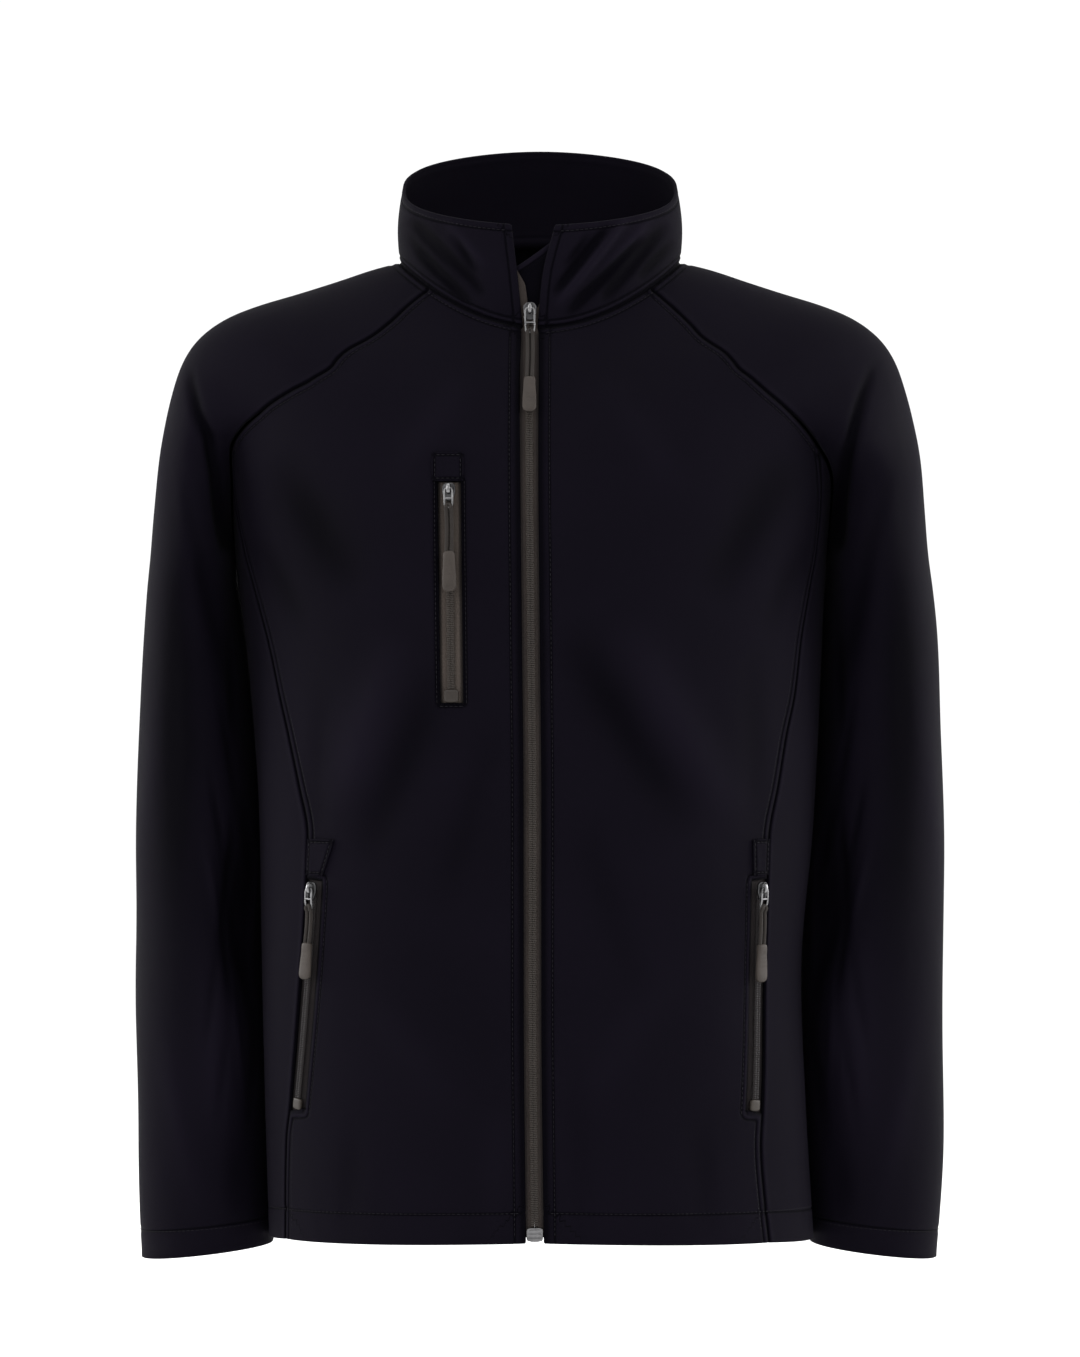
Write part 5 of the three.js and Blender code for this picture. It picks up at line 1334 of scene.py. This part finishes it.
def zipFrame(zipPart):
    line, z = zipPart["line"], np.array([zipPart["sliderZ"]])
    origin = nearZip(line(z), z, 0.0)[0]
    up = unit(nearZip(line(z + 5), z + 5, 0.0)[0] - nearZip(line(z - 5), z - 5, 0.0)[0])
    out = unit(nearZip(line(z), z, 1.0)[0] - origin)
    across = unit(np.cross(up, out))
    return origin, across, up, unit(np.cross(across, up))


# how far out the pull lies below its axis: over the slider, then eased down on to the cloth
def pullOut(down):
    t = np.clip((down - 8) / 8, 0, 1)
    return pull["hingeOut"] + (pull["rest"] - pull["hingeOut"]) * t * t * (3 - 2 * t)


def pullPoints(zipPart, place, down, sideways=0.0, away=0.0):
    origin, across, up, out = place
    down = np.asarray(down, float)
    z = zipPart["sliderZ"] + pull["hingeUp"] - down
    middle = nearZip(zipPart["line"](z), z, pullOut(down))
    sideways, away = np.broadcast_to(sideways, down.shape)[..., None], np.broadcast_to(away, down.shape)[..., None]
    return middle + across * sideways + out * away


sliderShape = {"tall": 13.0, "wide": 9.0, "thick": 2.4, "lift": 1.1}
# the number of rings and the points round each
counts = {
    "wing": (26, 32), "arch": (22, 12), "frame": (64, 12), "bar": (6, 12), "strand": (26, 14), "tip": (36, 36),
    "stop": (16, 32),
}


# the tip's half width and half depth along it, as shares of the pull's
tipShape = {
    "wideAt": [0, 0.03, 0.1, 0.3, 0.55, 0.85, 0.95, 1], "wide": [0.55, 0.74, 0.84, 0.86, 0.97, 1.0, 0.84, 0.42],
    "thickAt": [0, 0.04, 0.14, 0.3, 0.6, 0.88, 0.97, 1], "thick": [0.6, 0.95, 1.0, 0.8, 0.78, 0.95, 0.7, 0.35],
}


# one direction repeated for a number of rings
def rows(direction, count):
    return np.tile(direction, (count, 1))


for name, zipPart in zips.items():
    onBody = f"{name}_pull"
    place = zipFrame(zipPart)
    origin, across, up, out = place

    def at(x, y, z):
        x, y, z = np.broadcast_arrays(np.asarray(x, float), np.asarray(y, float), np.asarray(z, float))
        return origin + across * x[..., None] + up * y[..., None] + out * z[..., None]

    # the slider's wings as one block rounded over its ends, and the arch above
    ringCount, around = counts["wing"]
    t = np.linspace(-1, 1, ringCount)
    level = t * sliderShape["tall"] / 2
    outline = smoothColumn(t, [-1, -0.5, -0.1, 0.45, 1], [0.33, 0.40, 0.5, 0.5, 0.40]) * sliderShape["wide"]
    rounding = (1 - np.abs(t)**7)**0.5 * 0.75 + 0.25
    middleOut = sliderShape["lift"] + sliderShape["thick"] / 2
    wings = ovalLoft(at(0, level, middleOut), rows(across, ringCount), rows(out, ringCount),
                     outline * rounding, np.full(ringCount, sliderShape["thick"] / 2) * rounding, 4.5, around)
    cast = (wings, ringFaces(ringCount, around))
    archCount, archAround = counts["arch"]
    bend = np.linspace(0, math.pi, archCount)
    archUp = pull["hingeUp"] - np.cos(bend) * 3.4
    archOut = 3.2 + np.sin(bend)**0.6 * 3.5
    arch = sectionAlong(at(0, archUp, archOut), rows(across, archCount), 1.25, 0.55, 3.0, archAround)
    points, faces = joined([cast, arch])
    # the arch gets the full painted highlight, the wings none
    paintedGlint = np.concatenate([np.zeros(ringCount * around), np.ones(archCount * archAround)])
    addPiece(f"{name}_slider_cast", points, faces, "metal", [f"{name}_slider"], fields={"paintedGlint": paintedGlint})

    # the tab: a flat frame hung in the arch, with a bar across it
    tall, half = zipPart["tab"], zipPart["tabHalf"]
    ringCount, around = counts["frame"]
    turn = np.linspace(0, 2 * math.pi, ringCount, endpoint=False)
    c, s = np.cos(turn), np.sin(turn)
    sideways = np.sign(c) * np.abs(c)**0.42 * (half - 0.65)
    down = tall / 2 - 0.2 + np.sign(s) * np.abs(s)**0.42 * (tall / 2 - 0.3)
    frameBar = sectionAlong(pullPoints(zipPart, place, down, sideways), rows(out, ringCount), 0.55, 0.68, 3.2, around,
                            closed=True)
    ringCount, around = counts["bar"]
    barSideways = np.linspace(-half + 0.8, half - 0.8, ringCount)
    barPoints = pullPoints(zipPart, place, np.full(ringCount, tall * 0.52), barSideways)
    crossBar = sectionAlong(barPoints, rows(out, ringCount), 0.5, 0.62, 3.2, around)
    points, faces = joined([frameBar, crossBar])
    addPiece(f"{name}_tab_frame", points, faces, "metal", [f"{name}_tab"], onBody,
             fields={"paintedGlint": np.full(len(points), 0.8)})

    # the cord's loop: up one strand, through the frame's lower window and back down the other
    top, end = tall - 2.6, tall + zipPart["cord"]
    strandCount, around = counts["strand"]
    strand = np.linspace(end + 2.0, top + pull["spread"] + 0.5, strandCount)
    bend = np.linspace(0, math.pi, 15)[1:-1]
    down = np.concatenate([strand, top + pull["spread"] + 0.5 - pull["spread"] * np.sin(bend), strand[::-1]])
    side = np.concatenate([
        np.full(strandCount, -pull["spread"]), -pull["spread"] * np.cos(bend), np.full(strandCount, pull["spread"]),
    ])
    sway = 0.35 * np.sin((down - tall) / zipPart["cord"] * math.pi)
    away = 1.55 * np.exp(-((down - tall + 0.2) / 1.6)**2)
    path = pullPoints(zipPart, place, down, side + sway, away)
    rings, faces = sectionAlong(path, rows(out, len(path)), pull["cordHalf"], pull["cordHalf"], 2.0, around)
    girth = np.linspace(0, 2 * math.pi * pull["cordHalf"], around)
    uv = np.stack([np.tile(girth, (len(path), 1)), np.repeat(arcLength(path)[:, None], around, 1)], -1).reshape(-1, 2)
    addPiece(f"{name}_cord_braid", rings.reshape(-1, 3), faces, "cord", [f"{name}_cord"], onBody, uv)

    # the moulded tip: a shoulder where the strands go in, a waist for the finger and a round toe
    ringCount, around = counts["tip"]
    t = np.linspace(0, 1, ringCount)
    tipDown = end + cut["seat"] + t * zipPart["tip"]
    wide = smoothColumn(t, tipShape["wideAt"], tipShape["wide"]) * pull["tipWide"]
    thick = smoothColumn(t, tipShape["thickAt"], tipShape["thick"]) * pull["tipThick"]
    ribs = 1 + 0.035 * np.cos(t * 2 * math.pi * 9) * (np.abs(t - 0.45) < 0.22)
    centres = pullPoints(zipPart, place, tipDown)
    rings = ovalLoft(centres, rows(across, ringCount), rows(out, ringCount), wide, thick * ribs, 3.0, around)
    addPiece(f"{name}_tip_mould", rings.reshape(-1, 3), ringFaces(ringCount, around), "tip",
             [f"{name}_tip"], onBody)

    # the stop at the foot of the zip: a moulded box on the front zip, a bar tack on the pockets
    ringCount, around = counts["stop"]
    t = np.linspace(-1, 1, ringCount)
    level = zipPart["stopZ"] + t * zipPart["stopTall"] / 2
    rounding = (1 - np.abs(t)**6)**0.5 * 0.6 + 0.4
    middle = nearZip(zipPart["line"](level), level, -0.6)
    stopOut = unit(nearZip(zipPart["line"](level), level, 1.0) - middle)
    stopSide = unit(np.cross(unit(np.gradient(middle, axis=0)), stopOut))
    ridges = 1 + (0.12 * np.cos(t * 10) if name == "zip" else 0.0 * t)
    halfWide, halfThick = zipPart["stopWide"] / 2 * rounding, 1.6 * rounding * ridges
    rings = ovalLoft(middle, stopSide, stopOut, halfWide, halfThick, 4.0, around)
    look = "metal" if name == "zip" else "coil"
    addPiece(f"{name}_stop_mould", rings.reshape(-1, 3), ringFaces(ringCount, around), look, [f"{name}_stop"],
             fields={"paintedGlint": np.full(ringCount * around, 0.55)})
print("sliders, tabs, cords and tips ready")


# garage patches, sewn on above the pocket zips
garages = {
    "chest": {"low": -162.5, "high": -143.0, "left": lambda z: -75.0 + 0 * z, "right": lambda z: -53.4 + 0 * z},
    "right": {"low": -438.0, "high": -413.0, "left": lambda z: 0.8 - princess("right", z),
              "right": lambda z: -144.0 - 8.0 * (-413.0 - z) / 25.0},
    "left": {"low": -438.0, "high": -413.0, "left": lambda z: 149.5 + 0 * z,
             "right": lambda z: princess("left", z) - 0.8},
}
patchRow = 1.6  # from a patch's edge to its stitches
for name, patch in garages.items():
    z = np.linspace(patch["low"], patch["high"], 26)[:, None]
    share = np.linspace(0, 1, 24)[None, :]
    x = patch["left"](z) * (1 - share) + patch["right"](z) * share
    lifted = cut["seat"] + cut["patchThick"]
    grid = onFront(x, z + 0 * share, lifted)
    wide, tall = np.linalg.norm(grid[0, 0] - grid[0, -1]), np.linalg.norm(grid[0, 0] - grid[-1, 0])
    outward = np.tile([0.0, -1.0, 0.0], grid.shape[:2] + (1,))
    clothPiece(f"garage_{name}_cloth", grid, cut["patchThick"], outward, [],
               [(line, patchRow) for line in (grid[0], grid[-1], grid[:, 0], grid[:, -1])], [f"garage_{name}"],
               (round(wide * mm, 3) + 0.001, round(tall * mm, 3) + 0.001))
    for row in (2, -3):
        frontRow(x[row, 1:-1], np.broadcast_to(z, x.shape)[row, 1:-1], lifted)
    for column in (2, -3):
        frontRow(x[1:-1, column], z[1:-1, 0], lifted)
print("garages ready")

# the chest pocket's opening, cut through the right front, with its row of stitches
window = {**chestPocket, "rows": 40, "cells": 6}
z = np.linspace(window["bottom"], window["top"], window["rows"])[:, None]
share = np.linspace(0, 1, window["cells"])[None, :]
x = chestX(z) - window["right"] + (window["right"] + window["left"]) * share
near, far = onFront(x, z + 0 * share, 5.0), onFront(x, z + 0 * share, -6.0)
faces, border, _ = shellFaces(window["rows"], window["cells"])
a, b = near.reshape(-1, 3), far.reshape(-1, 3)
cutterPoints = np.concatenate([a, b, (a[border] + b[border]) / 2])
if signedVolume(cutterPoints, faces) < 0:
    faces = faces[:, ::-1]
cutter = bpy.data.objects.new("cutter", meshFrom("cutter", cutterPoints, faces))
bpy.context.scene.collection.objects.link(cutter)
front = bpy.data.objects["front_right_cloth"]
modifier = front.modifiers.new("opening", "BOOLEAN")
modifier.operation, modifier.object, modifier.solver = "DIFFERENCE", cutter, "EXACT"
bpy.context.view_layer.update()
opened = bpy.data.meshes.new_from_object(front.evaluated_get(bpy.context.evaluated_depsgraph_get()))
front.modifiers.clear()
front.data = opened
bpy.data.objects.remove(cutter, do_unlink=True)
away = chestStitchAway
for edgeX in (-window["right"] - away, window["left"] + away):
    z = np.linspace(window["bottom"] - away, window["top"] + away, 80)
    frontRow(chestX(z) + edgeX, z)
for level in (window["bottom"] - away, window["top"] + away):
    x = np.linspace(-window["right"] - away, window["left"] + away, 12)
    frontRow(chestX(np.full(12, level)) + x, np.full(12, level))
print("chest opening cut")

allStitches = np.concatenate(stitchRuns)
addPiece("stitching", allStitches.reshape(-1, 3), tubeFaces(len(allStitches), len(stitchRings)), "thread")
print("stitches", len(allStitches))


# a plain pale floor, well below the cuffs
stage = {"level": -880.0, "reach": 20000.0}
corners = [(-1, -1), (1, -1), (1, 1), (-1, 1)]
floorPoints = np.array([(x * stage["reach"], y * stage["reach"], stage["level"]) for x, y in corners])
floor = bpy.data.objects.new("floor", meshFrom("floor", floorPoints, np.array([[0, 1, 2, 3]])))
bpy.context.scene.collection.objects.link(floor)
floor.data.materials.append(looks["floor"])

lights = {
    "key": {"place": (-1.7, -2.6, 1.5), "aim": (0, 0, -0.25), "size": 1.6, "power": 32.0},
    "fill": {"place": (1.9, -2.4, 0.9), "aim": (0, 0, -0.3), "size": 1.8, "power": 26.0},
    "top": {"place": (0.0, -0.4, 2.2), "aim": (0, 0, -0.2), "size": 2.0, "power": 26.0},
    "leftRim": {"place": (-2.4, 0.3, 0.2), "aim": (0, 0, -0.3), "size": 1.5, "power": 66.0},
    "rightRim": {"place": (2.4, 0.3, 0.2), "aim": (0, 0, -0.3), "size": 1.5, "power": 66.0},
}
for name, values in lights.items():
    data = bpy.data.lights.new(name, "AREA")
    data.size, data.energy = values["size"], values["power"]
    lamp = bpy.data.objects.new(name, data)
    lamp.location = values["place"]
    lamp.rotation_euler = (Vector(values["aim"]) - Vector(values["place"])).to_track_quat("-Z", "Y").to_euler()
    bpy.context.scene.collection.objects.link(lamp)
world = bpy.data.worlds.new("world")
world.use_nodes = True
background = next(n for n in world.node_tree.nodes if n.type == "BACKGROUND")
background.inputs[0].default_value = (1.0, 1.0, 1.0, 1.0)
background.inputs[1].default_value = 1.06
bpy.context.scene.world = world
bpy.context.scene.view_settings.view_transform = "Standard"  # photograph-like whites and blacks

print("scene built")
